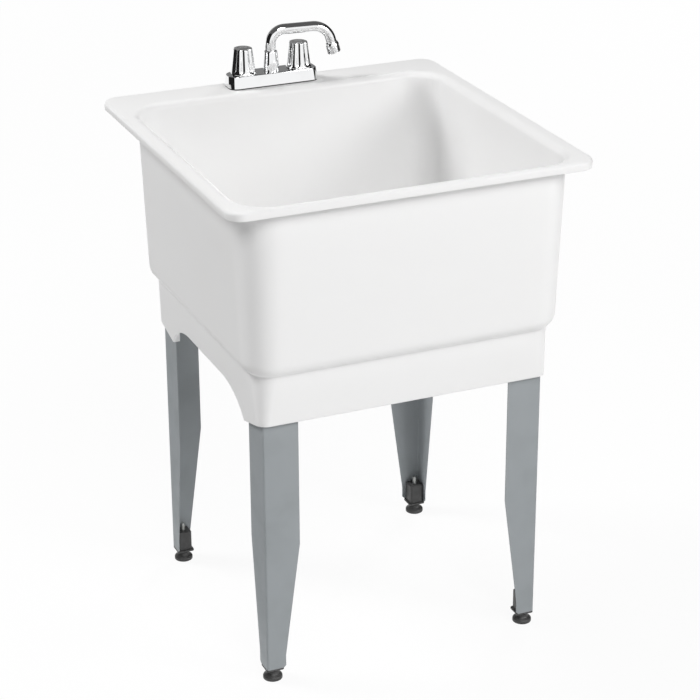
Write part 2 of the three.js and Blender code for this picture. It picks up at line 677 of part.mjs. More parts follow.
function faucetCover() {
  const edge = arc(-COVER_EDGE, COVER_TOP - COVER_EDGE, COVER_EDGE, 0, 90, 3);
  const outside = loft([coverRing(0, COVER_FOOT), ...edge.map(([out, z]) => coverRing(-out, z))]);
  const inside = loft([coverRing(COVER_WALL, COVER_FOOT - CUT), coverRing(COVER_WALL, CEILING)]);
  const valveHole = disc(BARREL_RADIUS + RUNNING, CEILING - CUT, COVER_TOP + CUT, SMALL_ROUND);
  const spoutHole = disc(COLLAR_RADIUS + RUNNING, CEILING - CUT, COVER_TOP + CUT, SMALL_ROUND);
  const holes = Object.values(valveOffsets).map((x) => moved(valveHole, x, 0));
  return worked(outside, { cut: [inside, spoutHole, ...holes] });
}

// Water way: two valve barrels on threaded shanks, a bar between them and the spout's collar
function waterway() {
  const seat = BARREL_TOP - CARTRIDGE_LENGTH;
  const barrel = disc(BARREL_RADIUS, RUNNING, BARREL_TOP, SMALL_ROUND);
  const shank = disc(SHANK_RADIUS, -SHANK_LENGTH, CUT, SMALL_ROUND);
  const valveBore = disc(CARTRIDGE_RADIUS, seat, BARREL_TOP + CUT, SMALL_ROUND);
  const inletBore = disc(SHANK_BORE, -SHANK_LENGTH - CUT, seat + CUT, SMALL_ROUND);
  const half = WATERWAY_BAR / 2;
  const reach = VALVE_SPACING / 2 - CARTRIDGE_RADIUS - CUT;
  const bar = box(-reach, reach, -half, half, BAR_FOOT, BAR_TOP);
  const collar = disc(COLLAR_RADIUS, BAR_FOOT, COLLAR_TOP, SMALL_ROUND);
  const collarBore = disc(COLLAR_BORE, BAR_FOOT + COLLAR_WALL, COLLAR_TOP + CUT, SMALL_ROUND);
  const at = Object.values(valveOffsets);
  return worked(bar, {
    add: [collar, ...at.flatMap((x) => [moved(barrel, x, 0), moved(shank, x, 0)])],
    cut: [collarBore, ...at.flatMap((x) => [moved(valveBore, x, 0), moved(inletBore, x, 0)])],
  });
}

function faucetGasket() {
  const plate = loft([coverRing(GASKET_INSET, 0), coverRing(GASKET_INSET, GASKET_THICKNESS)]);
  const hole = disc(BARREL_RADIUS + RUNNING, -CUT, GASKET_THICKNESS + CUT, SMALL_ROUND);
  return worked(plate, { cut: Object.values(valveOffsets).map((x) => moved(hole, x, 0)) });
}

addPiece(faucet, "faucet_cover", faucetCover(), CHROME);
addPiece(faucet, "faucet_waterway", waterway(), BRASS);
addPiece(faucet, "faucet_gasket", faucetGasket(), RUBBER);

// ---------------------------------------------------------------- valves and handles

// Heights above the deck
const CARTRIDGE_TOP = BARREL_TOP + SEAT + CARTRIDGE_FLANGE_HEIGHT;
const BONNET_TOP_Z = CARTRIDGE_TOP + SEAT + BONNET_TOP;
const BONNET_THREAD = BARREL_RADIUS + THREAD_FIT;
const BONNET_RADIUS = BONNET_THREAD + BONNET_WALL;
const STEM_TOP = BONNET_TOP_Z + STEM_RISE;
const STEM_BORE = SCREW_RADIUS + THREAD_FIT;
const HANDLE_FOOT = COVER_TOP + HANDLE_CLEARANCE;
const HANDLE_TOP = HANDLE_FOOT + HANDLE_HEIGHT;
const WEB_TOP = STEM_TOP + SEAT + HANDLE_WEB;
const CAP_FOOT = HANDLE_TOP - CAP_SINK + SEAT;

// Holds the valve: a flange rests on the barrel, and the stem turns in its bore
function cartridge() {
  const sleeve = CARTRIDGE_RADIUS - THREAD_FIT;
  const bore = STEM_RADIUS + RUNNING;
  const foot = BARREL_TOP - CARTRIDGE_LENGTH + SEAT;
  const flange = BARREL_TOP + SEAT;
  return turned([
    [bore, foot], [sleeve, foot], [sleeve, flange], [CARTRIDGE_FLANGE_RADIUS, flange],
    [CARTRIDGE_FLANGE_RADIUS, CARTRIDGE_TOP], [bore, CARTRIDGE_TOP],
  ], SMALL_ROUND);
}

function bonnetNut() {
  const mouth = STEM_RADIUS + BONNET_MOUTH_GAP;
  const ceiling = CARTRIDGE_TOP + SEAT;
  return turned([
    [BONNET_THREAD, COVER_TOP + SEAT], [BONNET_RADIUS, COVER_TOP + SEAT],
    [BONNET_RADIUS, BONNET_TOP_Z - BONNET_CHAMFER], [BONNET_RADIUS - BONNET_CHAMFER, BONNET_TOP_Z],
    [mouth, BONNET_TOP_Z], [mouth, ceiling], [BONNET_THREAD, ceiling],
  ], SMALL_ROUND);
}

// Stem with a tapped end. It turns with the handle.
function valveStem() {
  const foot = CARTRIDGE_TOP - STEM_DEPTH;
  const boreFoot = STEM_TOP - SCREW_LENGTH;
  return turned([
    [0, foot], [STEM_RADIUS, foot], [STEM_RADIUS, STEM_TOP], [STEM_BORE, STEM_TOP],
    [STEM_BORE, boreFoot], [0, boreFoot],
  ], SMALL_ROUND);
}

// A fluted ring of a handle
function flutedRing(radius, depth, z) {
  const count = HANDLE_FLUTES * FLUTE_STEPS;
  return Array.from({ length: count }, (unused, i) => {
    const angle = (i / count) * 2 * Math.PI;
    const dip = ((1 - Math.cos(HANDLE_FLUTES * angle)) / 2) ** 2;
    const r = radius - depth * dip;
    return new THREE.Vector3(r * Math.cos(angle), r * Math.sin(angle), z);
  });
}

// Tapered knob: flutes round it, hollow over the bonnet nut, a web on the stem's end,
// and a well on top for the screw and the cap
function handle() {
  const band = HANDLE_FOOT + HANDLE_BAND;
  const shoulder = HANDLE_FOOT_RADIUS - HANDLE_SHOULDER_INSET;
  const knob = loft([
    flutedRing(HANDLE_FOOT_RADIUS, 0, HANDLE_FOOT),
    flutedRing(HANDLE_FOOT_RADIUS, 0, band),
    flutedRing(shoulder, HANDLE_FLUTE_DEPTH, band + HANDLE_SHOULDER),
    flutedRing(HANDLE_TOP_RADIUS, HANDLE_FLUTE_DEPTH, HANDLE_TOP - HANDLE_CROWN),
    flutedRing(HANDLE_TOP_RADIUS - HANDLE_CROWN, 0, HANDLE_TOP),
  ]);
  const top = HANDLE_TOP + CUT;
  const hollow = disc(BONNET_RADIUS + HANDLE_HOLLOW_GAP, HANDLE_FOOT - CUT, BONNET_TOP_Z + CUT, SMALL_ROUND);
  const stemSocket = disc(STEM_RADIUS + SEAT, BONNET_TOP_Z, STEM_TOP + SEAT, SMALL_ROUND);
  const screwHole = disc(SCREW_RADIUS + THREAD_FIT, STEM_TOP, WEB_TOP + CUT, SMALL_ROUND);
  const well = disc(SCREW_HEAD_RADIUS + HANDLE_WELL_GAP, WEB_TOP, top, SMALL_ROUND);
  const capWell = disc(CAP_RADIUS + SEAT, HANDLE_TOP - CAP_SINK, top, SMALL_ROUND);
  return worked(knob, { cut: [hollow, stemSocket, screwHole, well, capWell] });
}

function handleScrew() {
  const head = WEB_TOP + SEAT;
  const top = head + SCREW_HEAD_HEIGHT;
  return turned([
    [0, head - SCREW_LENGTH], [SCREW_RADIUS, head - SCREW_LENGTH], [SCREW_RADIUS, head],
    [SCREW_HEAD_RADIUS, head], [SCREW_HEAD_RADIUS - SCREW_HEAD_ROUND, top], [0, top],
  ], SMALL_ROUND);
}

// Plain cap that closes the well, a little domed
function indexCap() {
  const top = CAP_FOOT + CAP_HEIGHT;
  return turned([
    [0, CAP_FOOT], [CAP_RADIUS, CAP_FOOT], [CAP_RADIUS, HANDLE_TOP], [CAP_CROWN_RADIUS, top], [0, top],
  ], SMALL_ROUND);
}

const UNDER_DECK = -WALL - SEAT;

function shankWasher() {
  const low = UNDER_DECK - SHANK_WASHER_THICKNESS;
  return ringTube(SHANK_RADIUS + RUNNING, SHANK_WASHER_RADIUS, low, UNDER_DECK, SMALL_ROUND);
}

// Plastic locknut with two wings for the fingers
function shankNut() {
  const top = UNDER_DECK - SHANK_WASHER_THICKNESS - SEAT;
  const low = top - SHANK_NUT_HEIGHT;
  const body = disc(SHANK_NUT_RADIUS, low, top, SMALL_ROUND);
  const tip = SHANK_NUT_RADIUS + WING_REACH;
  const half = WING_THICKNESS / 2;
  const wings = box(-tip, tip, -half, half, low - WING_DROP, top - WING_START);
  const thread = disc(SHANK_RADIUS + THREAD_FIT, low - WING_DROP - CUT, top + CUT, SMALL_ROUND);
  return worked(body, { add: [wings], cut: [thread] });
}

for (const [side, x] of Object.entries(valveOffsets)) {
  const valve = new THREE.Group();
  valve.position.set(x, 0, 0);
  faucet.add(valve);
  addPiece(valve, `cartridge_${side}`, cartridge(), BRASS);
  addPiece(valve, `bonnet_nut_${side}`, bonnetNut(), BRASS);
  addPiece(valve, `shank_washer_${side}`, shankWasher(), ZINC);
  addPiece(valve, `shank_nut_${side}`, shankNut(), WHITE_FITTING);
  addPiece(valve, `valve_stem_${side}`, valveStem(), BRASS);
  addPiece(valve, `handle_${side}`, handle(), CHROME);
  addPiece(valve, `handle_screw_${side}`, handleScrew(), ZINC);
  addPiece(valve, `index_cap_${side}`, indexCap(), CHROME);
}

// ---------------------------------------------------------------- spout

// Nut that holds the tube in the collar, tapered like a hub
function spoutNut() {
  const foot = COVER_TOP + SEAT;
  const thread = COLLAR_RADIUS + THREAD_FIT;
  const lip = COLLAR_TOP + SEAT + SEAL_HEIGHT + SEAT;
  const top = foot + SPOUT_NUT_HEIGHT;
  return turned([
    [thread, foot], [SPOUT_NUT_FOOT_RADIUS, foot], [SPOUT_NUT_FOOT_RADIUS, foot + SPOUT_NUT_BAND],
    [SPOUT_NUT_TOP_RADIUS, top - SPOUT_NUT_CHAMFER], [SPOUT_NUT_TOP_RADIUS - SPOUT_NUT_CHAMFER, top],
    [COLLAR_BORE, top], [COLLAR_BORE, lip], [thread, lip],
  ], SMALL_ROUND);
}

function spoutSeal() {
  const low = COLLAR_TOP + SEAT;
  return ringTube(COLLAR_BORE, COLLAR_RADIUS, low, low + SEAL_HEIGHT, SMALL_ROUND);
}

// Centre line: up from the collar, over, along, and over again to the open end
const SWEEP = THREE.MathUtils.degToRad(SPOUT_LAST_SWEEP);
const SPOUT_END_ALONG = new THREE.Vector3(Math.cos(SWEEP), 0, -Math.sin(SWEEP));
const SPOUT_TURN = SPOUT_FIRST_BEND + SPOUT_LEVEL; // where the last bend starts
const SPOUT_FALL = new THREE.Vector3(
  SPOUT_TURN + SPOUT_LAST_BEND * Math.sin(SWEEP), 0, SPOUT_RISE - SPOUT_LAST_BEND * (1 - Math.cos(SWEEP)),
);
const SPOUT_END = SPOUT_FALL.clone().addScaledVector(SPOUT_END_ALONG, SPOUT_TAIL);

// Stations along the centre line: a point and the direction there
function spoutStations() {
  const up = new THREE.Vector3(0, 0, 1);
  const stations = [{ point: new THREE.Vector3(0, 0, BAR_FOOT + COLLAR_WALL + SEAT), along: up }];
  const bend = (cx, cz, radius, from, to, steps) => {
    for (const [x, z] of arc(cx, cz, radius, from, to, steps)) {
      const out = new THREE.Vector3(x - cx, 0, z - cz).normalize();
      stations.push({ point: new THREE.Vector3(x, 0, z), along: new THREE.Vector3(out.z, 0, -out.x) });
    }
  };
  bend(SPOUT_FIRST_BEND, SPOUT_RISE - SPOUT_FIRST_BEND, SPOUT_FIRST_BEND, 180, 90, 6);
  bend(SPOUT_TURN, SPOUT_RISE - SPOUT_LAST_BEND, SPOUT_LAST_BEND, 90, 90 - SPOUT_LAST_SWEEP, 6);
  stations.push({ point: SPOUT_END, along: SPOUT_END_ALONG });
  return stations;
}

// The tube's wall: rings square to the centre line, outside and back inside
function spoutTube() {
  const across = new THREE.Vector3(0, 1, 0);
  const ringAt = ({ point, along }, radius) => {
    const side = new THREE.Vector3().crossVectors(across, along);
    return Array.from({ length: SPOUT_SIDES }, (unused, i) => {
      const angle = ((i + 0.5) / SPOUT_SIDES) * 2 * Math.PI;
      return point.clone()
        .addScaledVector(side, radius * Math.cos(angle))
        .addScaledVector(across, radius * Math.sin(angle));
    });
  };
  const stations = spoutStations();
  const outside = stations.map((station) => ringAt(station, SPOUT_RADIUS));
  const inside = stations.map((station) => ringAt(station, SPOUT_BORE)).reverse();
  return loft([...outside, ...inside], true);
}

// Threaded end for a hose, pressed over the tube. Its own +Z points back up the tube
// from the tube's end.
function hoseEnd() {
  const low = HOSE_END_SOCKET - HOSE_END_HEIGHT;
  const socket = SPOUT_RADIUS + SEAT;
  return turned([
    [SPOUT_BORE, low], [HOSE_END_RADIUS, low], [HOSE_END_RADIUS, HOSE_END_SOCKET - HOSE_END_TAPER],
    [socket + HOSE_END_LIP, HOSE_END_SOCKET], [socket, HOSE_END_SOCKET], [socket, -SEAT],
    [SPOUT_BORE, -SEAT],
  ]);
}

addPiece(faucet, "spout_nut", spoutNut(), CHROME);
addPiece(faucet, "spout_seal", spoutSeal(), RUBBER);
const spout = new THREE.Group();
spout.rotation.z = THREE.MathUtils.degToRad(SPOUT_SWING);
faucet.add(spout);
addPiece(spout, "spout_tube", spoutTube(), CHROME);
const hoseEndPiece = addPiece(spout, "hose_end", hoseEnd(), CHROME);
hoseEndPiece.position.copy(SPOUT_END);
hoseEndPiece.rotation.y = SWEEP - Math.PI / 2;

// ---------------------------------------------------------------- drain

const drain = new THREE.Group();
drain.position.set(0, DRAIN_Y, DRAIN_SEAT_Z);
sink.add(drain);

// Heights above the seat in the floor
const UNDER_FLOOR = -WALL - SEAT;
const GASKET_FOOT = UNDER_FLOOR - DRAIN_GASKET;
const WASHER_FOOT = GASKET_FOOT - SEAT - DRAIN_WASHER;
const NUT_TOP = WASHER_FOOT - SEAT;
const BODY_FOOT = -DRAIN_LENGTH;
const TAIL_TOP = BODY_FOOT - SEAT - TAIL_WASHER - SEAT;
const FLANGE_TOP = SEAT + DRAIN_FLANGE_HEIGHT;

// Flanged body: the throat tapers for the stopper, and two bars cross the bore
function drainBody() {
  const body = turned([
    [DRAIN_BORE, BODY_FOOT], [DRAIN_BODY_RADIUS, BODY_FOOT], [DRAIN_BODY_RADIUS, SEAT],
    [DRAIN_FLANGE_RADIUS, SEAT], [DRAIN_FLANGE_RADIUS, SEAT + DRAIN_FLANGE_EDGE],
    [DRAIN_FLANGE_RADIUS - DRAIN_FLANGE_BEVEL, FLANGE_TOP], [DRAIN_THROAT, FLANGE_TOP],
    [DRAIN_BORE, -STOPPER_PLUG_DEPTH],
  ]);
  const reach = (DRAIN_BORE + DRAIN_BODY_RADIUS) / 2;
  const half = DRAIN_BAR / 2;
  const low = -DRAIN_BAR_DEPTH - DRAIN_BAR;
  const bars = [
    box(-reach, reach, -half, half, low, -DRAIN_BAR_DEPTH),
    box(-half, half, -reach, reach, low, -DRAIN_BAR_DEPTH),
  ];
  return worked(body, { add: bars });
}

// Locknut: a flanged ring with lugs for a spanner
function drainNut() {
  const thread = DRAIN_BODY_RADIUS + THREAD_FIT;
  const low = NUT_TOP - DRAIN_NUT_HEIGHT;
  const ringRadius = DRAIN_NUT_RADIUS - DRAIN_NUT_FLANGE_REACH;
  const flangeFoot = NUT_TOP - DRAIN_NUT_FLANGE;
  const ring = ringTube(thread, ringRadius, low, NUT_TOP);
  const flange = ringTube(thread, DRAIN_NUT_RADIUS, flangeFoot, NUT_TOP);
  const half = DRAIN_LUG_WIDTH / 2;
  const lugs = Array.from({ length: DRAIN_LUGS }, (unused, i) => {
    const lug = box(ringRadius - CUT, DRAIN_NUT_RADIUS - DRAIN_LUG_INSET, -half, half, low, flangeFoot + CUT);
    return closed(lug.rotateZ((i / DRAIN_LUGS) * 2 * Math.PI));
  });
  return worked(ring, { add: [flange, ...lugs] });
}

const TAIL_FLANGE_RADIUS = DRAIN_BODY_RADIUS - TAIL_FLANGE_GAP;

function tailpiece() {
  const bore = TAIL_RADIUS - TAIL_WALL;
  const low = TAIL_TOP - TAIL_LENGTH;
  return turned([
    [bore, low], [TAIL_RADIUS, low], [TAIL_RADIUS, TAIL_TOP - TAIL_FLANGE],
    [TAIL_FLANGE_RADIUS, TAIL_TOP - TAIL_FLANGE], [TAIL_FLANGE_RADIUS, TAIL_TOP], [bore, TAIL_TOP],
  ]);
}

// Slip nut: its floor lifts the tailpiece's flange against the body
function tailNut() {
  const thread = DRAIN_BODY_RADIUS + THREAD_FIT;
  const seat = TAIL_TOP - TAIL_FLANGE - SEAT;
  const low = seat - TAIL_NUT_FLOOR;
  const radius = thread + TAIL_NUT_WALL;
  const top = low + TAIL_NUT_HEIGHT;
  return turned([
    [TAIL_RADIUS + RUNNING, low], [radius - TAIL_NUT_CHAMFER, low], [radius, low + TAIL_NUT_CHAMFER],
    [radius, top], [thread, top], [thread, seat], [TAIL_RADIUS + RUNNING, seat],
  ]);
}

// Rubber stopper: a tapered plug, a lip on the flange and a knob to pull
function stopper() {
  const foot = SEAT - STOPPER_PLUG_DEPTH;
  const lipFoot = FLANGE_TOP + SEAT;
  const lipTop = lipFoot + STOPPER_LIP_HEIGHT;
  const knobTop = lipTop + STOPPER_KNOB_HEIGHT;
  return turned([
    [0, foot], [DRAIN_BORE - RUNNING, foot], [DRAIN_THROAT - 2 * RUNNING, lipFoot],
    [STOPPER_LIP_RADIUS, lipFoot], [STOPPER_LIP_RADIUS - STOPPER_LIP_TAPER, lipTop],
    [STOPPER_NECK_RADIUS, lipTop + STOPPER_NECK_SWEEP],
    [STOPPER_NECK_RADIUS, knobTop - STOPPER_KNOB_BEAD],
    [STOPPER_KNOB_RADIUS, knobTop - STOPPER_KNOB_BEAD / 2],
    [STOPPER_KNOB_RADIUS - STOPPER_KNOB_ROUND, knobTop], [0, knobTop],
  ], PAD_SIDES);
}

addPiece(drain, "drain_body", drainBody(), WHITE_FITTING);
addPiece(drain, "drain_gasket", ringTube(
  DRAIN_BODY_RADIUS + RUNNING, DRAIN_WASHER_RADIUS, GASKET_FOOT, UNDER_FLOOR,
), RUBBER);
addPiece(drain, "drain_washer", ringTube(
  DRAIN_BODY_RADIUS + RUNNING, DRAIN_WASHER_RADIUS, WASHER_FOOT, GASKET_FOOT - SEAT,
), WHITE_FITTING);
addPiece(drain, "drain_locknut", drainNut(), WHITE_FITTING);
addPiece(drain, "tailpiece", tailpiece(), WHITE_FITTING);
addPiece(drain, "tailpiece_washer", ringTube(
  TAIL_RADIUS + RUNNING, TAIL_FLANGE_RADIUS, BODY_FOOT - SEAT - TAIL_WASHER, BODY_FOOT - SEAT,
), RUBBER);
addPiece(drain, "tailpiece_nut", tailNut(), WHITE_FITTING);
addPiece(drain, "stopper", stopper(), RUBBER);

export default sink;
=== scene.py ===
# %% [markdown]
# # A utility laundry sink
#
# This is a free-standing laundry sink: one white moulded tub on four steel angle legs, with a chrome
# two-handle faucet and a swinging spout. The CAD frame holds every piece at its real size and place.
# Here the pieces that show are modelled again with smooth curves, rounded edges, flutes and threads, and
# every piece gets its finish. Shapes are drawn in millimetres and brought to metres when a piece is
# finished, so the numbers read like a drawing.

# %% Load the frame
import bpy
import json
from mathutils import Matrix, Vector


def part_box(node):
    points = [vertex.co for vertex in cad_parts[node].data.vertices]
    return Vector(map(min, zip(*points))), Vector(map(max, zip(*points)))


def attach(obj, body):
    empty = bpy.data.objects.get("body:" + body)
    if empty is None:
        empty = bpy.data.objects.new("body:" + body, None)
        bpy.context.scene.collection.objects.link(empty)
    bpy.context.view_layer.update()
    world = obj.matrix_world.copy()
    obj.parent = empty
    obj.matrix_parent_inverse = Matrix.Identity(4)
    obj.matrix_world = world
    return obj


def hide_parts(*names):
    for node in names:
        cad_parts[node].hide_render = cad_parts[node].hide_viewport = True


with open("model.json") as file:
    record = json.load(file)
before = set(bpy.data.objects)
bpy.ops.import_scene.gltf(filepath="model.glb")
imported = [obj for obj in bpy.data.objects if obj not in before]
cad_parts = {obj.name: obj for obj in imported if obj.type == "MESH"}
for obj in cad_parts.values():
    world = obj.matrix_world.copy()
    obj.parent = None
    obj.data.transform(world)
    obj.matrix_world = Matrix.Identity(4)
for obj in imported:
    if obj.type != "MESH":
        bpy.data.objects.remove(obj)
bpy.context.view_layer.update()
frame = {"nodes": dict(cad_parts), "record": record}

import json
import math
from collections import namedtuple

import bmesh
import bpy
from mathutils import Matrix, Vector

MM = 0.001

# %% [markdown]
# ## Camera
#
# The camera stands to the front left of the sink and a little over it, far away with a long lens, so
# the upright edges stay nearly parallel. Its place was found by matching the corners of the rim and the
# four feet with the photograph.

# %% Place the camera
CAMERA_PLACE = Vector((-1.350, -3.199, 1.965))
CAMERA_AZIMUTH = math.radians(-23.14)
CAMERA_ELEVATION = math.radians(23.65)
CAMERA_ROLL = math.radians(-0.24)
LENS = 115.65
SENSOR = 36


def towards(azimuth, elevation):
    """The direction from the object to a camera or lamp. Azimuth 0 is in front of it, on -Y."""
    flat = math.cos(elevation)
    return Vector((math.sin(azimuth) * flat, -math.cos(azimuth) * flat, math.sin(elevation)))


def make_camera():
    back = towards(CAMERA_AZIMUTH, CAMERA_ELEVATION)
    right = Vector((0, 0, 1)).cross(back).normalized()
    up = back.cross(right)
    turn = Matrix.Rotation(CAMERA_ROLL, 3, back)
    axes = Matrix((turn @ right, turn @ up, back)).transposed()
    data = bpy.data.cameras.new("camera")
    data.lens = LENS
    data.sensor_width = SENSOR
    camera = bpy.data.objects.new("camera", data)
    camera.matrix_world = Matrix.Translation(CAMERA_PLACE) @ axes.to_4x4()
    bpy.context.scene.collection.objects.link(camera)
    bpy.context.scene.camera = camera


make_camera()
bpy.context.scene.view_settings.view_transform = "Standard"
print("camera at", tuple(CAMERA_PLACE))

# %% [markdown]
# ## Light
#
# The photograph is a plain white studio shot. The front wall is brighter than the left one, the corner
# between them is darker than both, and the inside of the bowl is bright to its depth. Two lamps stand in
# front, one of them to the right. The brightest hangs high at the left and a little behind: it lights the
# left wall and the rim, and leaves the corner, the fold over the skirt and the legs under the tub darker.
# The last one stands behind at the right, so that the back is lit as plainly as the front. Each lamp's
# strength is given as the brightness that it gives to a white surface that faces it. The two behind aren't
# mirrored in the chrome, whose sides are dark.

# %% Hang the lamps
AIM = Vector((0, 0, 0.6))
LAMP_DISTANCE = 5.0


def make_lamp(name, azimuth, elevation, brightness, size, mirrored=True):
    data = bpy.data.lights.new(name, "AREA")
    data.shape = "DISK"
    data.size = size
    data.energy = brightness * math.pi ** 2 * LAMP_DISTANCE ** 2
    lamp = bpy.data.objects.new(name, data)
    away = towards(math.radians(azimuth), math.radians(elevation))
    place = Matrix.Translation(AIM + away * LAMP_DISTANCE)
    lamp.matrix_world = place @ away.to_track_quat("Z", "Y").to_matrix().to_4x4()
    lamp.visible_glossy = mirrored
    bpy.context.scene.collection.objects.link(lamp)
    print(name, "at", [round(value, 2) for value in lamp.matrix_world.translation])


make_lamp("front_light", azimuth=-4, elevation=46, brightness=0.47, size=2.4)
make_lamp("right_front_light", azimuth=38, elevation=24, brightness=0.36, size=2.2)
make_lamp("left_light", azimuth=-125, elevation=42, brightness=0.71, size=2.0, mirrored=False)
make_lamp("right_back_light", azimuth=130, elevation=22, brightness=0.30, size=2.0, mirrored=False)

# %% [markdown]
# ## World and floor
#
# The background is white without lighting the sink more: the world is at strength 1 only for rays that
# come from the camera, a mirror or glass, and weaker for the rays that light a surface. The floor glows
# for the same rays, and near the sink a part of it is plain matte, so the soft shadow stays on it. Far
# out it is all glow, so no horizon shows. From below it is clear, and the sink's underside can be seen.

# %% Make the world and the floor
FILL = 0.06
FLOOR_SIZE = 18.0
FLOOR_GLOW = 0.92
SHADOW_REACH = 1.6
GLOW_REACH = 5.0
FLOOR_COLOUR = (0.86, 0.86, 0.86, 1)
WHITE = (1, 1, 1, 1)


def plug(tree, value, socket):
    """Links an output to a socket, or sets the socket to a plain value."""
    if isinstance(value, bpy.types.NodeSocket):
        tree.links.new(value, socket)
    else:
        socket.default_value = value


def add_node(tree, kind, *inputs, settings=(), **named):
    """A node whose inputs are given in order, or by name with underscores for spaces.

    settings are made first, because they can change which inputs the node shows.
    """
    node = tree.nodes.new(kind)
    for name, value in dict(settings).items():
        setattr(node, name, value)
    for socket, value in zip(node.inputs, inputs):
        plug(tree, value, socket)
    for name, value in named.items():
        plug(tree, value, node.inputs[name.replace("_", " ")])
    return node


def arithmetic(tree, operation, first, second):
    """A Math node on two sockets or numbers."""
    return add_node(tree, "ShaderNodeMath", first, second, settings={"operation": operation}).outputs[0]


def seen_directly(tree):
    """1 for camera, glossy and transmission rays, and 0 for the rays that carry light."""
    path = tree.nodes.new("ShaderNodeLightPath").outputs
    first = arithmetic(tree, "MAXIMUM", path["Is Camera Ray"], path["Is Glossy Ray"])
    return arithmetic(tree, "MAXIMUM", first, path["Is Transmission Ray"])


def make_world():
    world = bpy.data.worlds.new("studio")
    world.use_nodes = True
    tree = world.node_tree
    tree.nodes.clear()
    fill = add_node(tree, "ShaderNodeBackground", Strength=FILL, Color=WHITE)
    white = add_node(tree, "ShaderNodeBackground", Strength=1.0, Color=WHITE)
    mix = add_node(tree, "ShaderNodeMixShader", seen_directly(tree), fill.outputs[0], white.outputs[0])
    add_node(tree, "ShaderNodeOutputWorld", mix.outputs[0])
    bpy.context.scene.world = world


def bare_material(name):
    """A material with an empty node tree."""
    material = bpy.data.materials.new(name)
    material.use_nodes = True
    material.node_tree.nodes.clear()
    return material


def floor_material():
    material = bare_material("studio_floor")
    tree = material.node_tree
    matte = add_node(tree, "ShaderNodeBsdfDiffuse", Color=FLOOR_COLOUR)
    glow = add_node(tree, "ShaderNodeEmission", Color=WHITE, Strength=1.0)
    clear = tree.nodes.new("ShaderNodeBsdfTransparent")
    place = tree.nodes.new("ShaderNodeTexCoord").outputs["Object"]
    away = add_node(tree, "ShaderNodeVectorMath", place, settings={"operation": "LENGTH"})
    glowing = add_node(tree, "ShaderNodeMapRange", Value=away.outputs["Value"], From_Min=SHADOW_REACH,
                       From_Max=GLOW_REACH, To_Min=FLOOR_GLOW, To_Max=1.0)
    share = arithmetic(tree, "MULTIPLY", seen_directly(tree), glowing.outputs["Result"])
    above = add_node(tree, "ShaderNodeMixShader", share, matte.outputs[0], glow.outputs[0])
    below = tree.nodes.new("ShaderNodeNewGeometry").outputs["Backfacing"]
    sides = add_node(tree, "ShaderNodeMixShader", below, above.outputs[0], clear.outputs[0])
    add_node(tree, "ShaderNodeOutputMaterial", sides.outputs[0])
    return material


def stage_sheet(name, material, width, depth, place):
    """A flat sheet that isn't part of the sink. place is a matrix."""
    bm = bmesh.new()
    bmesh.ops.create_grid(bm, x_segments=1, y_segments=1, size=0.5)
    bmesh.ops.scale(bm, vec=(width, depth, 1), verts=bm.verts[:])
    bmesh.ops.transform(bm, matrix=place, verts=bm.verts[:])
    mesh = bpy.data.meshes.new(name)
    bm.to_mesh(mesh)
    bm.free()
    mesh.materials.append(material)
    sheet = bpy.data.objects.new(name, mesh)
    bpy.context.scene.collection.objects.link(sheet)
    return sheet


make_world()
stage_sheet("floor", floor_material(), FLOOR_SIZE, FLOOR_SIZE, Matrix.Identity(4))
print("floor", FLOOR_SIZE, "m wide")

# %% [markdown]
# Chrome has no look of its own and shows what stands round it. In an all-white room it would be white
# and lose its shape. Photographers hang black cards beside and over it, and their reflections draw the
# dark lines along its edges. A dim one stands behind the sink and keeps the deck's shine down, and one
# lies on the floor at the left, which darkens the left sides of the tub and the legs. Only mirror rays
# see these cards, so they take no light from the sink.

# %% Hang black cards for the chrome
BLACK = 0.015
DIM = 0.10
BACK_TONE = 0.22
CARD_HEIGHT = 2.6
MAT_HEIGHT = 0.003
UPRIGHT_X = Matrix.Rotation(math.pi / 2, 4, "Y")
UPRIGHT_Y = Matrix.Rotation(math.pi / 2, 4, "X")


def card_material(name, tone):
    material = bare_material(name)
    tree = material.node_tree
    glow = add_node(tree, "ShaderNodeEmission", Color=(tone, tone, tone, 1), Strength=1.0)
    add_node(tree, "ShaderNodeOutputMaterial", glow.outputs[0])
    return material


def hang_card(name, tone, width, depth, middle, turn=Matrix.Identity(4)):
    place = Matrix.Translation(middle) @ turn
    card = stage_sheet(name, card_material(name, tone), width, depth, place)
    for rays in ("camera", "diffuse", "transmission", "shadow"):
        setattr(card, f"visible_{rays}", False)
    print(name, width, "by", depth, "m")


hang_card("ceiling_card", DIM, 16.0, 16.0, (0, 0, 6.0))
hang_card("floor_card", DIM, 2.7, 4.2, (-1.66, 1.2, MAT_HEIGHT))
hang_card("left_card", BLACK, CARD_HEIGHT, 5.2, (-2.4, 0.5, CARD_HEIGHT / 2), UPRIGHT_X)
hang_card("right_card", BLACK, CARD_HEIGHT, 4.2, (2.4, 1.2, CARD_HEIGHT / 2), UPRIGHT_X)
hang_card("back_card", BACK_TONE, 4.8, CARD_HEIGHT, (0.6, 2.8, 0.9 + CARD_HEIGHT / 2), UPRIGHT_Y)

# %% [markdown]
# ## Shared effects
#
# A few small surface effects appear in several finishes. Each is a node group with named inputs, built
# once. The first is the relief of a moulded or rolled surface: a fine grain on top of long, shallow
# waves, which keeps a big flat wall from looking like glass. It puts out a height for a Bump node.


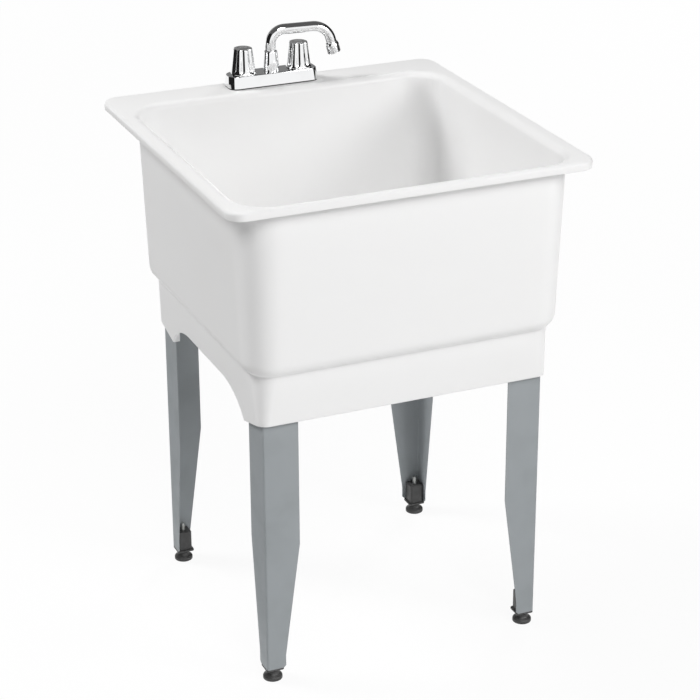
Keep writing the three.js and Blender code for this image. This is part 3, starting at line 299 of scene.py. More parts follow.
# %% Group: surface relief
def new_group(name, result, **numbers):
    """A node group that takes a vector and named numbers, and puts out one number.

    Returns the group, the sockets that it is given, and the socket for its result.
    """
    group = bpy.data.node_groups.new(name, "ShaderNodeTree")
    sockets = group.interface
    sockets.new_socket("Vector", in_out="INPUT", socket_type="NodeSocketVector")
    for label, value in numbers.items():
        label = label.replace("_", " ")
        sockets.new_socket(label, in_out="INPUT", socket_type="NodeSocketFloat").default_value = value
    sockets.new_socket(result, in_out="OUTPUT", socket_type="NodeSocketFloat")
    end = group.nodes.new("NodeGroupOutput")
    return group, group.nodes.new("NodeGroupInput").outputs, end.inputs[result]


def noise(tree, vector, scale, detail, roughness=0.5):
    """A Noise Texture in metres: scale is a socket or a number of waves in a metre."""
    return add_node(tree, "ShaderNodeTexNoise", Vector=vector, Scale=scale, Detail=detail,
                    Roughness=roughness).outputs["Fac"]


def relief_group():
    group, given, height = new_group(
        "surface_relief", "Height", Grain_Scale=900.0, Wave_Scale=9.0, Wave_Share=0.9,
    )
    grain = noise(group, given["Vector"], given["Grain Scale"], 3)
    wave = noise(group, given["Vector"], given["Wave Scale"], 1)
    waves = arithmetic(group, "MULTIPLY", wave, given["Wave Share"])
    rest = arithmetic(group, "SUBTRACT", 1, given["Wave Share"])
    group.links.new(arithmetic(group, "ADD", waves, arithmetic(group, "MULTIPLY", grain, rest)), height)
    return group


RELIEF = relief_group()
print("group", RELIEF.name)

# %% [markdown]
# The second effect is a soft, cloudy mask. It stands for the faint smears, water marks and colour drift
# that keep a surface from being the same all over. A finish uses it on its roughness and its colour.


# %% Group: smears
SMEAR_START = 0.62
SMEAR_REACH = 0.4
SMEAR_FADE = 0.4


def smear_group():
    group, given, mask = new_group("soft_smears", "Mask", Scale=12.0, Cover=0.5)
    cloud = noise(group, given["Vector"], given["Scale"], 2)
    cover = arithmetic(group, "MULTIPLY", given["Cover"], SMEAR_REACH)
    low = arithmetic(group, "SUBTRACT", SMEAR_START, cover)
    high = arithmetic(group, "ADD", low, SMEAR_FADE)
    fade = add_node(group, "ShaderNodeMapRange", settings={"interpolation_type": "SMOOTHSTEP"},
                    Value=cloud, From_Min=low, From_Max=high, To_Min=0.0, To_Max=1.0)
    group.links.new(fade.outputs["Result"], mask)
    return group


SMEARS = smear_group()
print("group", SMEARS.name)

# %% [markdown]
# The third effect is wear along edges. The pointiness of the surface is high on an outer edge, so a
# narrow band of it, broken up by noise, marks where a coating has been rubbed.


# %% Group: edge wear
EDGE_START = 0.53
EDGE_FULL = 0.62
PATCH_SCALE = 140.0


def wear_group():
    group, given, mask = new_group("edge_wear", "Mask", Amount=0.5)
    pointed = group.nodes.new("ShaderNodeNewGeometry").outputs["Pointiness"]
    edge = add_node(group, "ShaderNodeMapRange", Value=pointed, From_Min=EDGE_START, From_Max=EDGE_FULL)
    patches = noise(group, given["Vector"], PATCH_SCALE, 3, 0.7)
    rubbed = arithmetic(group, "MULTIPLY", edge.outputs["Result"], patches)
    group.links.new(arithmetic(group, "MULTIPLY", rubbed, given["Amount"]), mask)
    return group


WEAR = wear_group()
print("group", WEAR.name)

# %% [markdown]
# ## Finishes
#
# Each finish is a Principled material. The plain values sit on the shader's own sockets, and the groups
# drive what changes over the surface: the roughness between two values, the colour towards a second
# colour and, on the bump, the relief. One function makes them all, because they differ only in values.


# %% Make the finishes
def grey(value, warm=0.0):
    """A grey, warmer or cooler by a little."""
    return (value * (1 + warm), value, value * (1 - warm), 1)


def place_group(tree, group, vector, **values):
    return add_node(
        tree, "ShaderNodeGroup", settings={"node_tree": group}, Vector=vector, **values,
    ).outputs[0]


def mixed(tree, share, first, second):
    """A colour between two others, which are sockets or plain colours."""
    node = add_node(tree, "ShaderNodeMix", settings={"data_type": "RGBA"}, Factor=share, A=first, B=second)
    return node.outputs["Result"]


def finish(name, colour, second, roughness, grain, wave, wave_share, depth, smears, cover,
           metallic=0.0, gloss=0.5, wear=None, wear_colour=None):
    """roughness is a pair: where the surface is clean, and where it is smeared. depth is in metres."""
    material = bpy.data.materials.new(name)
    material.use_nodes = True
    tree = material.node_tree
    shader = tree.nodes["Principled BSDF"].inputs
    shader["Metallic"].default_value = metallic
    shader["Specular IOR Level"].default_value = gloss
    place = tree.nodes.new("ShaderNodeTexCoord").outputs["Object"]

    mask = place_group(tree, SMEARS, place, Scale=smears, Cover=cover)
    rough = add_node(tree, "ShaderNodeMapRange", Value=mask, To_Min=roughness[0], To_Max=roughness[1])
    tree.links.new(rough.outputs["Result"], shader["Roughness"])

    painted = mixed(tree, mask, colour, second)
    if wear is not None:
        painted = mixed(tree, place_group(tree, WEAR, place, Amount=wear), painted, wear_colour)
    tree.links.new(painted, shader["Base Color"])

    height = place_group(tree, RELIEF, place, Grain_Scale=grain, Wave_Scale=wave, Wave_Share=wave_share)
    bump = add_node(tree, "ShaderNodeBump", Strength=1.0, Distance=depth, Height=height)
    tree.links.new(bump.outputs["Normal"], shader["Normal"])
    return material


FINISHES = {
    "tub_plastic": finish(
        "white_moulded_plastic", grey(0.87, 0.002), grey(0.86, 0.005), (0.28, 0.32),
        grain=700, wave=7, wave_share=0.93, depth=0.0006, smears=5, cover=0.4, gloss=0.28,
    ),
    "leg_steel": finish(
        "grey_coated_steel", (0.330, 0.353, 0.368, 1), (0.306, 0.329, 0.340, 1), (0.44, 0.56),
        grain=1600, wave=14, wave_share=0.7, depth=0.0002, smears=18, cover=0.5, gloss=0.15,
        wear=0.5, wear_colour=grey(0.42),
    ),
    "black_plastic": finish(
        "black_moulded_plastic", grey(0.040), grey(0.058), (0.42, 0.55),
        grain=1400, wave=40, wave_share=0.4, depth=0.0001, smears=60, cover=0.7,
        wear=0.5, wear_colour=grey(0.10),
    ),
    "zinc": finish(
        "zinc_plate", (0.56, 0.57, 0.56, 1), (0.46, 0.47, 0.45, 1), (0.28, 0.42),
        metallic=1.0, grain=2500, wave=120, wave_share=0.5, depth=0.00003, smears=90, cover=0.6,
    ),
    "chrome": finish(
        "polished_chrome", grey(0.91, -0.006), grey(0.85, -0.004), (0.04, 0.09),
        metallic=1.0, grain=600, wave=30, wave_share=0.97, depth=0.00008, smears=45, cover=0.35,
    ),
    "brass": finish(
        "machined_brass", (0.62, 0.43, 0.19, 1), (0.44, 0.30, 0.13, 1), (0.24, 0.38),
        metallic=1.0, grain=2200, wave=60, wave_share=0.5, depth=0.00004, smears=70, cover=0.6,
    ),
    "rubber": finish(
        "black_rubber", grey(0.020), grey(0.036), (0.62, 0.78),
        grain=1800, wave=50, wave_share=0.4, depth=0.0001, smears=80, cover=0.6,
    ),
    "white_fitting": finish(
        "white_pipe_plastic", grey(0.74, 0.004), grey(0.70, 0.012), (0.38, 0.50),
        grain=1200, wave=25, wave_share=0.6, depth=0.0001, smears=40, cover=0.5,
    ),
}
print(len(FINISHES), "finishes")

# %% [markdown]
# ## Finishing a piece
#
# Every new piece ends the same way: doubles merged, normals turned out, brought to metres, given its
# finish and smooth shading with sharp folds kept. Then it is tied to the CAD: it rides on a body's empty,
# the CAD nodes that it stands for are hidden, and the name of their material slot picks its finish.

# %% Helper: finish a piece
SHARP_FOLD = math.radians(34)


def finished(name, bm, body, nodes, slot):
    """Makes a closed bmesh, drawn in millimetres, a piece of the sink."""
    bmesh.ops.remove_doubles(bm, verts=bm.verts[:], dist=1e-4)
    bmesh.ops.recalc_face_normals(bm, faces=bm.faces[:])
    bmesh.ops.scale(bm, vec=(MM, MM, MM), verts=bm.verts[:])
    open_edges = sum(1 for edge in bm.edges if not edge.is_manifold)
    mesh = bpy.data.meshes.new(name)
    bm.to_mesh(mesh)
    bm.free()
    mesh.shade_smooth()
    mesh.set_sharp_from_angle(angle=SHARP_FOLD)
    mesh.materials.append(FINISHES[slot])
    piece = bpy.data.objects.new(name, mesh)
    bpy.context.scene.collection.objects.link(piece)
    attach(piece, body)
    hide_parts(*nodes)
    print(f"{name}: {len(mesh.polygons)} faces, {open_edges} open edges")
    return piece


def box_mm(node):
    """The lowest and highest corner of a CAD node, in millimetres."""
    low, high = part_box(node)
    return Vector(low) / MM, Vector(high) / MM


def middle_mm(node):
    low, high = box_mm(node)
    return (low + high) / 2


# %% [markdown]
# ## Profiles
#
# Most pieces start from an outline with some rounded corners. The outline is drawn as a wire with a few
# points, and the bevel operator rounds the corners that have a radius. A wire closed on itself is a
# section, and an open one that starts and ends on the axis is half of a turned solid.


# %% Helper: wires with rounded corners
def wire(bm, points, closed=True, segments=5):
    """Draws edges through points, each (x, y, z, radius), and rounds them. Returns the edges."""
    verts = [bm.verts.new(point[:3]) for point in points]
    pairs = list(zip(verts, verts[1:]))
    if closed:
        pairs.append((verts[-1], verts[0]))
    edges = [bm.edges.new(pair) for pair in pairs]
    bm.verts.index_update()
    known = set(bm.edges) - set(edges)
    for vert, point in zip(verts, points):
        if point[3] > 0:
            bmesh.ops.bevel(
                bm, geom=[vert], offset=point[3], offset_type="OFFSET", affect="VERTICES",
                segments=segments, profile=0.5, material=-1,
            )
    return [edge for edge in bm.edges if edge not in known]


ROUND_STEPS = 4


def turned(points, segments=64):
    """A solid turned about Z from points, each (radius, z) or (radius, z, rounding radius)."""
    bm = bmesh.new()
    closed = points[0][0] > 0
    edges = wire(bm, [(p[0], 0, p[1], p[2] if len(p) > 2 else 0) for p in points], closed, ROUND_STEPS)
    bmesh.ops.spin(
        bm, geom=bm.verts[:] + edges, cent=(0, 0, 0), axis=(0, 0, 1), angle=2 * math.pi,
        steps=segments, use_merge=True, use_duplicate=False,
    )
    bmesh.ops.remove_doubles(bm, verts=bm.verts[:], dist=1e-4)
    return bm


def moved(bm, x=0.0, y=0.0, z=0.0):
    bmesh.ops.translate(bm, vec=(x, y, z), verts=bm.verts[:])
    return bm


# %% [markdown]
# Some pieces are joined from simple solids, or have holes cut through them, as a casting is drilled. A
# Boolean modifier does that on a helper object, and only its result is kept.


# %% Helper: join and cut solids
def as_object(bm):
    bmesh.ops.recalc_face_normals(bm, faces=bm.faces[:])
    mesh = bpy.data.meshes.new("helper")
    bm.to_mesh(mesh)
    bm.free()
    helper = bpy.data.objects.new("helper", mesh)
    bpy.context.scene.collection.objects.link(helper)
    return helper


def worked(base, add=(), cut=()):
    """Joins closed solids to a base, then cuts others out of it. Returns the new bmesh."""
    helpers = [as_object(base)]
    for operation, tools in (("UNION", add), ("DIFFERENCE", cut)):
        for tool in tools:
            helpers.append(as_object(tool))
            step = helpers[0].modifiers.new("step", "BOOLEAN")
            step.operation = operation
            step.solver = "MANIFOLD"
            step.object = helpers[-1]
    result = bmesh.new()
    result.from_object(helpers[0], bpy.context.evaluated_depsgraph_get())
    for helper in helpers:
        mesh = helper.data
        bpy.data.objects.remove(helper)
        bpy.data.meshes.remove(mesh)
    return result


def rod(radius, low, high, segments=48, x=0.0, y=0.0):
    """A plain cylinder, the usual tool for a hole."""
    bm = bmesh.new()
    bmesh.ops.create_cone(
        bm, cap_ends=True, segments=segments, radius1=radius, radius2=radius, depth=high - low,
    )
    return moved(bm, x, y, (low + high) / 2)


def bar(low, high):
    """A plain box between two corners."""
    bm = bmesh.new()
    bmesh.ops.create_cube(bm, size=1.0)
    size = [b - a for a, b in zip(low, high)]
    bmesh.ops.scale(bm, vec=size, verts=bm.verts[:])
    return moved(bm, *[(a + b) / 2 for a, b in zip(low, high)])


# %% [markdown]
# ## Rings
#
# The tub, the faucet's cover and the foot inserts are drawn like lofts: a rounded rectangle is pulled from
# one height to the next and changes its size on the way. Each vertex keeps a note of where it stands
# on the rectangle: from -1 to 1 along a straight side, and from 1 to 2 round a corner. With that note a
# vertex finds its place on any other rounded rectangle, so the columns of faces never twist.

# %% Helper: rounded rectangles and rings
Outline = namedtuple("Outline", "x0 x1 y0 y1 corner")


def share_at(value, low, high, corner):
    middle = (high - low) / 2 - corner
    offset = value - (low + high) / 2
    if abs(offset) <= middle:
        return offset / middle
    return math.copysign(1 + (abs(offset) - middle) / corner, offset)


def place_at(share, low, high, corner):
    middle = (high - low) / 2 - corner
    offset = share * middle
    if abs(share) > 1:
        offset = math.copysign(middle + (abs(share) - 1) * corner, share)
    return (low + high) / 2 + offset


def on(outline, z):
    """A rule that places a vertex on an outline at height z."""
    def rule(share):
        x = place_at(share.x, outline.x0, outline.x1, outline.corner)
        y = place_at(share.y, outline.y0, outline.y1, outline.corner)
        return Vector((x, y, z))
    return rule


def first_ring(bm, outline, z, corner_steps, width_cuts=0, depth_cuts=0):
    """Draws a rounded rectangle with its sides divided, and notes each vertex's share."""
    x0, x1, y0, y1, corner = outline
    edges = wire(bm, [(x, y, z, corner) for x, y in ((x1, y1), (x0, y1), (x0, y0), (x1, y0))],
                 segments=corner_steps)
    for axis, cuts in ((1, width_cuts), (0, depth_cuts)):
        sides = [e for e in edges if e.is_valid and abs(e.verts[0].co[axis] - e.verts[1].co[axis]) < 1e-4]
        if cuts:
            bmesh.ops.subdivide_edges(bm, edges=sides, cuts=cuts)
    note = bm.verts.layers.float_vector.new("share")
    for vert in bm.verts:
        vert[note] = (share_at(vert.co.x, x0, x1, corner), share_at(vert.co.y, y0, y1, corner), 0)
    return bm.edges[:], note


def grown(bm, ring):
    """Extrudes a ring of edges. Returns the new vertices, and the ring that they form."""
    parts = bmesh.ops.extrude_edge_only(bm, edges=ring)["geom"]
    verts = {part for part in parts if isinstance(part, bmesh.types.BMVert)}
    edges = [part for part in parts if isinstance(part, bmesh.types.BMEdge)]
    return verts, [edge for edge in edges if verts.issuperset(edge.verts)]


def lofted(bm, ring, note, rules):
    """Pulls a ring on once for each rule, which places its vertices. Returns the last ring."""
    for rule in rules:
        verts, ring = grown(bm, ring)
        for vert in verts:
            vert.co = rule(vert[note])
    return ring


def capped(bm, note, start, end):
    """Closes the first and the last ring, and takes the note away."""
    bm.verts.layers.float_vector.remove(note)
    bmesh.ops.edgeloop_fill(bm, edges=start)
    bmesh.ops.edgeloop_fill(bm, edges=end)
    return bm


def arc(centre, height, radius, start, stop, steps):
    """Points of an arc in a section, as (distance, z). Angles are in degrees."""
    angles = [math.radians(start + (stop - start) * i / steps) for i in range(steps + 1)]
    return [(centre + radius * math.cos(a), height + radius * math.sin(a)) for a in angles]


# %% [markdown]
# ## The tub
#
# The tub is one injection moulding. Its section runs from the rolled rim down the outside of the bowl,
# steps in to the skirt that carries the legs, turns up again under the floor, and ends at the drain. From
# the rim the other way it rounds the mouth, goes down the drafted wall and over the floor to the drain.
# Real mouldings have no sharp corner, because plastic flows badly round one, so each fold is an arc.

# %% Tub sizes
tub_low, tub_high = box_mm("tub")
RIM_TOP = tub_high.z
HALF_WIDTH = tub_high.x
HALF_DEPTH = tub_high.y
RIM_CORNER = 28
RIM_EDGE = 5
LIP_DROP = 14
LIP_ROUND = 1.4
WALL = 4.5
SIDE_LEDGE = 26
FRONT_LEDGE = 14
BACK_DECK = 70
BOWL_CORNER = 60
MOUTH_EDGE = 12
BOWL_DEPTH = 285
DRAFT = 9
BOWL_FOOT = 21.5
FLOOR_FALL = 12
SKIRT_STEP = 24
SKIRT_LEAN = 6
SKIRT_TOP_CORNER = 34
SKIRT_FOOT_CORNER = 14
SKIRT_ROOT = 8
SOCKET_FOOT = tub_low.z
SKIRT_EDGE = 463
ARCH_TOP = 490
ARCH_SLOPE = 92
ARCH_FOOT_PULL = 11
ARCH_CROWN_PULL = 51

FLOOR_Z = RIM_TOP - BOWL_DEPTH
FOOT_Z = FLOOR_Z + BOWL_FOOT
DRAIN_Z = FLOOR_Z - FLOOR_FALL
OUTER_FOOT = BOWL_FOOT + WALL
CREASE_Z = FOOT_Z - math.sqrt(OUTER_FOOT ** 2 - (OUTER_FOOT + DRAFT - SKIRT_STEP) ** 2)
DRAIN_AXIS = Vector((0, (FRONT_LEDGE - BACK_DECK) / 2, 0))


def bowl(inset, corner=None):
    """The bowl's outline under the rim, moved in."""
    if corner is None:
        corner = BOWL_CORNER - inset
    return Outline(
        SIDE_LEDGE + inset - HALF_WIDTH, HALF_WIDTH - SIDE_LEDGE - inset,
        FRONT_LEDGE + inset - HALF_DEPTH, HALF_DEPTH - BACK_DECK - inset, corner,
    )


def rim(inset):
    return Outline(
        inset - HALF_WIDTH, HALF_WIDTH - inset, inset - HALF_DEPTH, HALF_DEPTH - inset, RIM_CORNER - inset,
    )


print("tub", [round(value, 1) for value in tub_high - tub_low], "mm")

# %% [markdown]
# The skirt's lower edge is straight at the front and back. On the sides it slopes down under each leg
# socket and arches up in between, with a steep start and a long level crown. The arch's ends are the same
# cubic curves as in the CAD, so the height at a place along the side is found by halving steps.


# %% Tub: the lower edge of the skirt
def corner_at(inset):
    """The corner radius shrinks faster as the skirt leans in."""
    if inset < DRAFT:
        return BOWL_CORNER - inset
    if inset < SKIRT_STEP:
        share = (inset - DRAFT) / (SKIRT_STEP - DRAFT)
        return (BOWL_CORNER - DRAFT) * (1 - share) + SKIRT_TOP_CORNER * share
    share = (inset - SKIRT_STEP) / SKIRT_LEAN
    return SKIRT_TOP_CORNER * (1 - share) + SKIRT_FOOT_CORNER * share


def skirt_inset(z):
    return SKIRT_STEP + SKIRT_LEAN * (CREASE_Z - z) / (CREASE_Z - SOCKET_FOOT)


def cubic(a, b, c, d, t):
    return a * (1 - t) ** 3 + 3 * b * t * (1 - t) ** 2 + 3 * c * t ** 2 * (1 - t) + d * t ** 3


def arch_height(along):
    """Height of an arch's curved end, at a distance from the socket."""
    low, high = 0.0, 1.0
    for _ in range(24):
        t = (low + high) / 2
        if cubic(0, ARCH_FOOT_PULL, ARCH_SLOPE - ARCH_CROWN_PULL, ARCH_SLOPE, t) < along:
            low = t
        else:
            high = t
    return cubic(SOCKET_FOOT, (SOCKET_FOOT + ARCH_TOP) / 2, ARCH_TOP, ARCH_TOP, t)


leg_low, leg_high = box_mm("leg_front_left")
back_leg_high = box_mm("leg_back_left")[1]
LEG_X = -leg_low.x
LEG_FRONT = leg_low.y
LEG_BACK = back_leg_high.y
LEG_FLANGE = leg_high.x - leg_low.x
SOCKET_FIT = 0.3
SOCKET_INNER_WALL = 4
SOCKET_SPAN = LEG_FLANGE + 2 * SOCKET_FIT + SOCKET_INNER_WALL


def lower_edge(y):
    """Height of the skirt's lower edge on a side, from front to back."""
    past_leg = min(y - LEG_FRONT, LEG_BACK - y)
    if past_leg < 0:
        return SKIRT_EDGE
    if past_leg < SOCKET_SPAN:
        return SKIRT_EDGE + (SOCKET_FOOT - SKIRT_EDGE) * past_leg / SOCKET_SPAN
    if past_leg < SOCKET_SPAN + ARCH_SLOPE:
        return arch_height(past_leg - SOCKET_SPAN)
    return ARCH_TOP


print("arch from", SOCKET_FOOT, "to", ARCH_TOP, "mm")

# %% [markdown]
# The shell is drawn from one ring on the rim, outwards and then inwards. Near each fold a ring is set a few
# millimetres away from it, so that smooth shading bends only there and the wall between stays flat.

# %% Tub: the shell
CORNER_STEPS = 14
WIDTH_CUTS = 40
DEPTH_CUTS = 104
HOLD = 4
MOUTH_HOLD = 0.8
RIM_ROOT = 3
EDGE_ROUND = 1.3
WALL_RINGS = (0.02, 0.5, 0.98)
CREASE_GAP = 4
CREASE_RINGS = ((0.5, 0.4), (0, 1.6))


def outside_rules():
    """From the rim's edge, round the lip, down the bowl and over its foot to the skirt."""
    lip_z = RIM_TOP - LIP_DROP + LIP_ROUND
    under = RIM_TOP - WALL
    section = arc(-RIM_EDGE, RIM_TOP - RIM_EDGE, RIM_EDGE, 90, 0, 6)[1:]
    section += arc(-LIP_ROUND, lip_z, LIP_ROUND, 0, -90, 3)
    section += arc(LIP_ROUND - WALL, lip_z, LIP_ROUND, -90, -180, 3)
    section += arc(-WALL - RIM_ROOT, under - RIM_ROOT, RIM_ROOT, 0, 90, 3)
    rules = [on(rim(-out), z) for out, z in section]
    root = arc(-RIM_ROOT, under - RIM_ROOT, RIM_ROOT, 90, 0, 3)
    rules += [on(bowl(-RIM_ROOT - back), z) for back, z in root]
    rules += [on(bowl(DRAFT * share), under + (FOOT_Z - under) * share) for share in WALL_RINGS]
    crease = math.degrees(math.asin((FOOT_Z - CREASE_Z) / OUTER_FOOT))
    foot = arc(0, FOOT_Z, OUTER_FOOT, 0, CREASE_GAP - crease, 8)
    insets = [(DRAFT + OUTER_FOOT - out, z) for out, z in foot]
    insets += [(SKIRT_STEP - back, CREASE_Z - drop) for back, drop in CREASE_RINGS]
    rules += [on(bowl(inset, corner_at(inset)), z) for inset, z in insets]
    return rules + [on(bowl(SKIRT_STEP, SKIRT_TOP_CORNER), CREASE_Z - HOLD)]


def skirt_rule(depth, rise):
    """Places a vertex above the lower edge, at a depth in the skirt's wall."""
    foot = bowl(SKIRT_STEP + SKIRT_LEAN, SKIRT_FOOT_CORNER)

    def rule(share):
        y = place_at(share.y, foot.y0, foot.y1, foot.corner)
        z = lower_edge(y) + rise
        inset = skirt_inset(z)
        return on(bowl(inset + depth, corner_at(inset) - depth), z)(share)
    return rule


def skirt_rules():
    """Down the outside of the skirt, round its lower edge, up the inside and under the floor."""
    section = [(0, EDGE_ROUND + HOLD)]
    section += arc(EDGE_ROUND, EDGE_ROUND, EDGE_ROUND, 180, 270, 3)
    section += arc(WALL - EDGE_ROUND, EDGE_ROUND, EDGE_ROUND, 270, 360, 3)
    section.append((WALL, EDGE_ROUND + HOLD))
    under = FLOOR_Z - WALL
    root = arc(SKIRT_STEP + WALL + SKIRT_ROOT, under - SKIRT_ROOT, SKIRT_ROOT, 180, 90, 4)
    rules = [skirt_rule(depth, rise) for depth, rise in section]
    return rules + [on(bowl(back, SKIRT_TOP_CORNER - (back - SKIRT_STEP)), z) for back, z in root]


def inside_rules():
    """From the rim's flat round the mouth, down the wall and round the foot to the floor."""
    top = RIM_TOP - MOUTH_EDGE
    mouth = arc(MOUTH_EDGE, top, MOUTH_EDGE, 90, 180, 12)
    rules = [on(bowl(WALL - MOUTH_EDGE - MOUTH_HOLD), RIM_TOP)]
    rules += [on(bowl(WALL - back), z) for back, z in mouth]
    rules += [on(bowl(WALL + DRAFT * share), top + (FOOT_Z - top) * share) for share in WALL_RINGS]
    foot = arc(0, FOOT_Z, BOWL_FOOT, 0, -90, 9)
    return rules + [on(bowl(DRAFT + OUTER_FOOT - out), z) for out, z in foot]


def drain_rule(outline, radius, z):
    """Places a vertex on a circle round the drain, in the direction of its place on the wall."""
    def rule(share):
        spot = on(outline, z)(share) - DRAIN_AXIS
        spot.z = 0
        return DRAIN_AXIS + spot.normalized() * radius + Vector((0, 0, z))
    return rule


def floor_rules(outline, edge_z, radius, z, steps=6):
    """Rings between the floor's edge and the drain's. The fall is steeper near the drain."""
    start = on(outline, edge_z)
    stop = drain_rule(outline, radius, z)

    def between(t):
        def rule(share):
            spot = start(share).lerp(stop(share), t)
            spot.z = edge_z + (z - edge_z) * t ** 1.3
            return spot
        return rule
    return [between(i / steps) for i in range(1, steps + 1)]


DRAIN_HOLE = 24.6
DRAIN_FIT = 0.6
SEAT_RADIUS = box_mm("drain_body")[1].x + DRAIN_FIT
SEAT_DEPTH = 4


def draw_shell():
    bm = bmesh.new()
    start, note = first_ring(bm, rim(RIM_EDGE), RIM_TOP, CORNER_STEPS, WIDTH_CUTS, DEPTH_CUTS)
    seat_z = DRAIN_Z - SEAT_DEPTH
    floor_edge = bowl(DRAFT + OUTER_FOOT)
    under_edge = bowl(SKIRT_STEP + WALL + SKIRT_ROOT, SKIRT_TOP_CORNER - WALL - SKIRT_ROOT)
    swell = SEAT_RADIUS + 2 * WALL
    seat = (
        (SEAT_RADIUS + 0.2, DRAIN_Z - 0.3), (SEAT_RADIUS, DRAIN_Z - 1), (SEAT_RADIUS, seat_z),
        (DRAIN_HOLE, seat_z),
    )
    boss = ((swell - WALL, seat_z - WALL), (DRAIN_HOLE, seat_z - WALL))
    inside = inside_rules() + floor_rules(floor_edge, FLOOR_Z, SEAT_RADIUS + 1, DRAIN_Z)
    inside += [drain_rule(floor_edge, radius, z) for radius, z in seat]
    outside = outside_rules() + skirt_rules()
    outside += floor_rules(under_edge, FLOOR_Z - WALL, swell, DRAIN_Z - WALL)
    outside += [drain_rule(under_edge, radius, z) for radius, z in boss]
    ends = lofted(bm, start, note, outside) + lofted(bm, start, note, inside)
    bmesh.ops.bridge_loops(bm, edges=ends)
    bm.verts.layers.float_vector.remove(note)
    return bm


shell = draw_shell()
print("shell:", len(shell.faces), "faces")

# %% [markdown]
# Each leg plugs into a socket under the bowl: an L-shaped block of plastic inside the corner of the skirt,
# with an L-shaped slot that the steel slides up into. The block is drawn between two L-shaped wires, its
# outer faces sunk in the skirt's wall. The slots and the two holes in the deck are cut by Boolean.


# %% Tub: leg sockets and deck holes
def angle_wire(bm, width, steel, bend, z, reach=0.0, inner_bend=None, segments=6):
    """The section of a folded angle, its outer corner at the origin. reach moves its outer faces out."""
    inner = max(bend - steel, 0.6) if inner_bend is None else inner_bend
    return wire(bm, [
        (-reach, -reach, z, bend), (width, -reach, z, 0), (width, steel, z, 0), (steel, steel, z, inner),
        (steel, width, z, 0), (-reach, width, z, 0),
    ], segments=segments)


def skinned(bm, rings):
    """Bridges a stack of equal wires and closes its ends."""
    for low, high in zip(rings, rings[1:]):
        bmesh.ops.bridge_loops(bm, edges=low + high)
    bmesh.ops.edgeloop_fill(bm, edges=rings[0])
    bmesh.ops.edgeloop_fill(bm, edges=rings[-1])
    return bm


CORNERS = (
    ("front_left", 1, 1, -LEG_X, LEG_FRONT), ("front_right", -1, 1, LEG_X, LEG_FRONT),
    ("back_left", 1, -1, -LEG_X, LEG_BACK), ("back_right", -1, -1, LEG_X, LEG_BACK),
)
LEG_STEEL = 1.6
LEG_BEND = 4
LEG_INSET = HALF_WIDTH - SIDE_LEDGE - LEG_X
SOCKET_ROOF = 522
SOCKET_THICKNESS = LEG_STEEL + SOCKET_FIT + SOCKET_INNER_WALL


def to_corner(bm, sx, sy, x, y):
    """Mirrors a solid drawn for the front left corner and moves it to its own."""
    bmesh.ops.scale(bm, vec=(sx, sy, 1), verts=bm.verts[:])
    bmesh.ops.recalc_face_normals(bm, faces=bm.faces[:])
    return moved(bm, x, y)


def socket_block():
    bm = bmesh.new()
    rings = []
    for z in (SOCKET_FOOT, SOCKET_ROOF + SOCKET_INNER_WALL):
        reach = LEG_INSET - skirt_inset(z) - WALL / 2
        bend = corner_at(skirt_inset(z)) - WALL / 2
        rings.append(angle_wire(bm, SOCKET_SPAN, SOCKET_THICKNESS, bend, z, reach, 1.5))
    # The foot follows the skirt's edge: level along the front, sloping down along the side
    for vert in {vert for edge in rings[0] for vert in edge.verts}:
        on_side = vert.co.x < SOCKET_THICKNESS + 1
        vert.co.z = lower_edge(LEG_FRONT + max(vert.co.y, 0)) if on_side else SKIRT_EDGE
    return skinned(bm, rings)


def socket_slot():
    bm = bmesh.new()
    rings = [
        angle_wire(bm, LEG_FLANGE + SOCKET_FIT, LEG_STEEL + SOCKET_FIT, LEG_BEND, z, SOCKET_FIT)
        for z in (SOCKET_FOOT - 10, SOCKET_ROOF)
    ]
    return skinned(bm, rings)


VALVES = {side: middle_mm(f"handle_{side}") for side in ("left", "right")}
DECK_HOLE = 14.3


def at_valves(radius, low, high):
    """A rod on the axis of each valve."""
    return [rod(radius, low, high, x=axis.x, y=axis.y) for axis in VALVES.values()]


blocks = [to_corner(socket_block(), *corner[1:]) for corner in CORNERS]
slots = [to_corner(socket_slot(), *corner[1:]) for corner in CORNERS]
holes = at_valves(DECK_HOLE, RIM_TOP - 3 * WALL, RIM_TOP + WALL)
finished("moulded_tub", worked(shell, blocks, slots + holes), "root", ["tub"], "tub_plastic")

# %% [markdown]
# ## Legs
#
# Each leg is sheet steel folded to a right angle. Both flanges are wide at the top and taper towards the
# floor, and the toe's corner is clipped. The L-shaped wire is drawn at each height where the width
# changes, the wires are bridged, and a fine bevel breaks the sheared edges, which catch the light.

# %% Legs
LEG_TOE = 33
LEG_TOE_CUT = 4
LEG_TAPER_TOP = 245
LEG_TAPER_FOOT = 45
SHEARED_EDGE = 0.35


def leg(low, high):
    bm = bmesh.new()
    stations = (
        (low, LEG_TOE - LEG_TOE_CUT), (low + LEG_TOE_CUT, LEG_TOE), (LEG_TAPER_FOOT, LEG_TOE),
        (LEG_TAPER_TOP, LEG_FLANGE), (high, LEG_FLANGE),
    )
    rings = [angle_wire(bm, width, LEG_STEEL, LEG_BEND, z, segments=8) for z, width in stations]
    return skinned(bm, rings)


for name, sx, sy, x, y in CORNERS:
    low, high = box_mm(f"leg_{name}")
    solid = to_corner(leg(low.z, high.z), sx, sy, x, y)
    piece = finished(f"angle_leg_{name}", solid, "root", [f"leg_{name}"], "leg_steel")
    edges = piece.modifiers.new("sheared_edges", "BEVEL")
    edges.width = SHEARED_EDGE * MM
    edges.segments = 2
    edges.limit_method = "ANGLE"
    edges.angle_limit = math.radians(50)
    edges.harden_normals = True

# %% [markdown]
# ## Threads
#
# A thread is one helical surface. A short profile, one pitch high, is spun with a small lift at each step,
# which draws the helix. The top of each turn meets the bottom of the next, so merging the doubles gives one
# skin. Two planes cut it to length, and the open ends are filled.


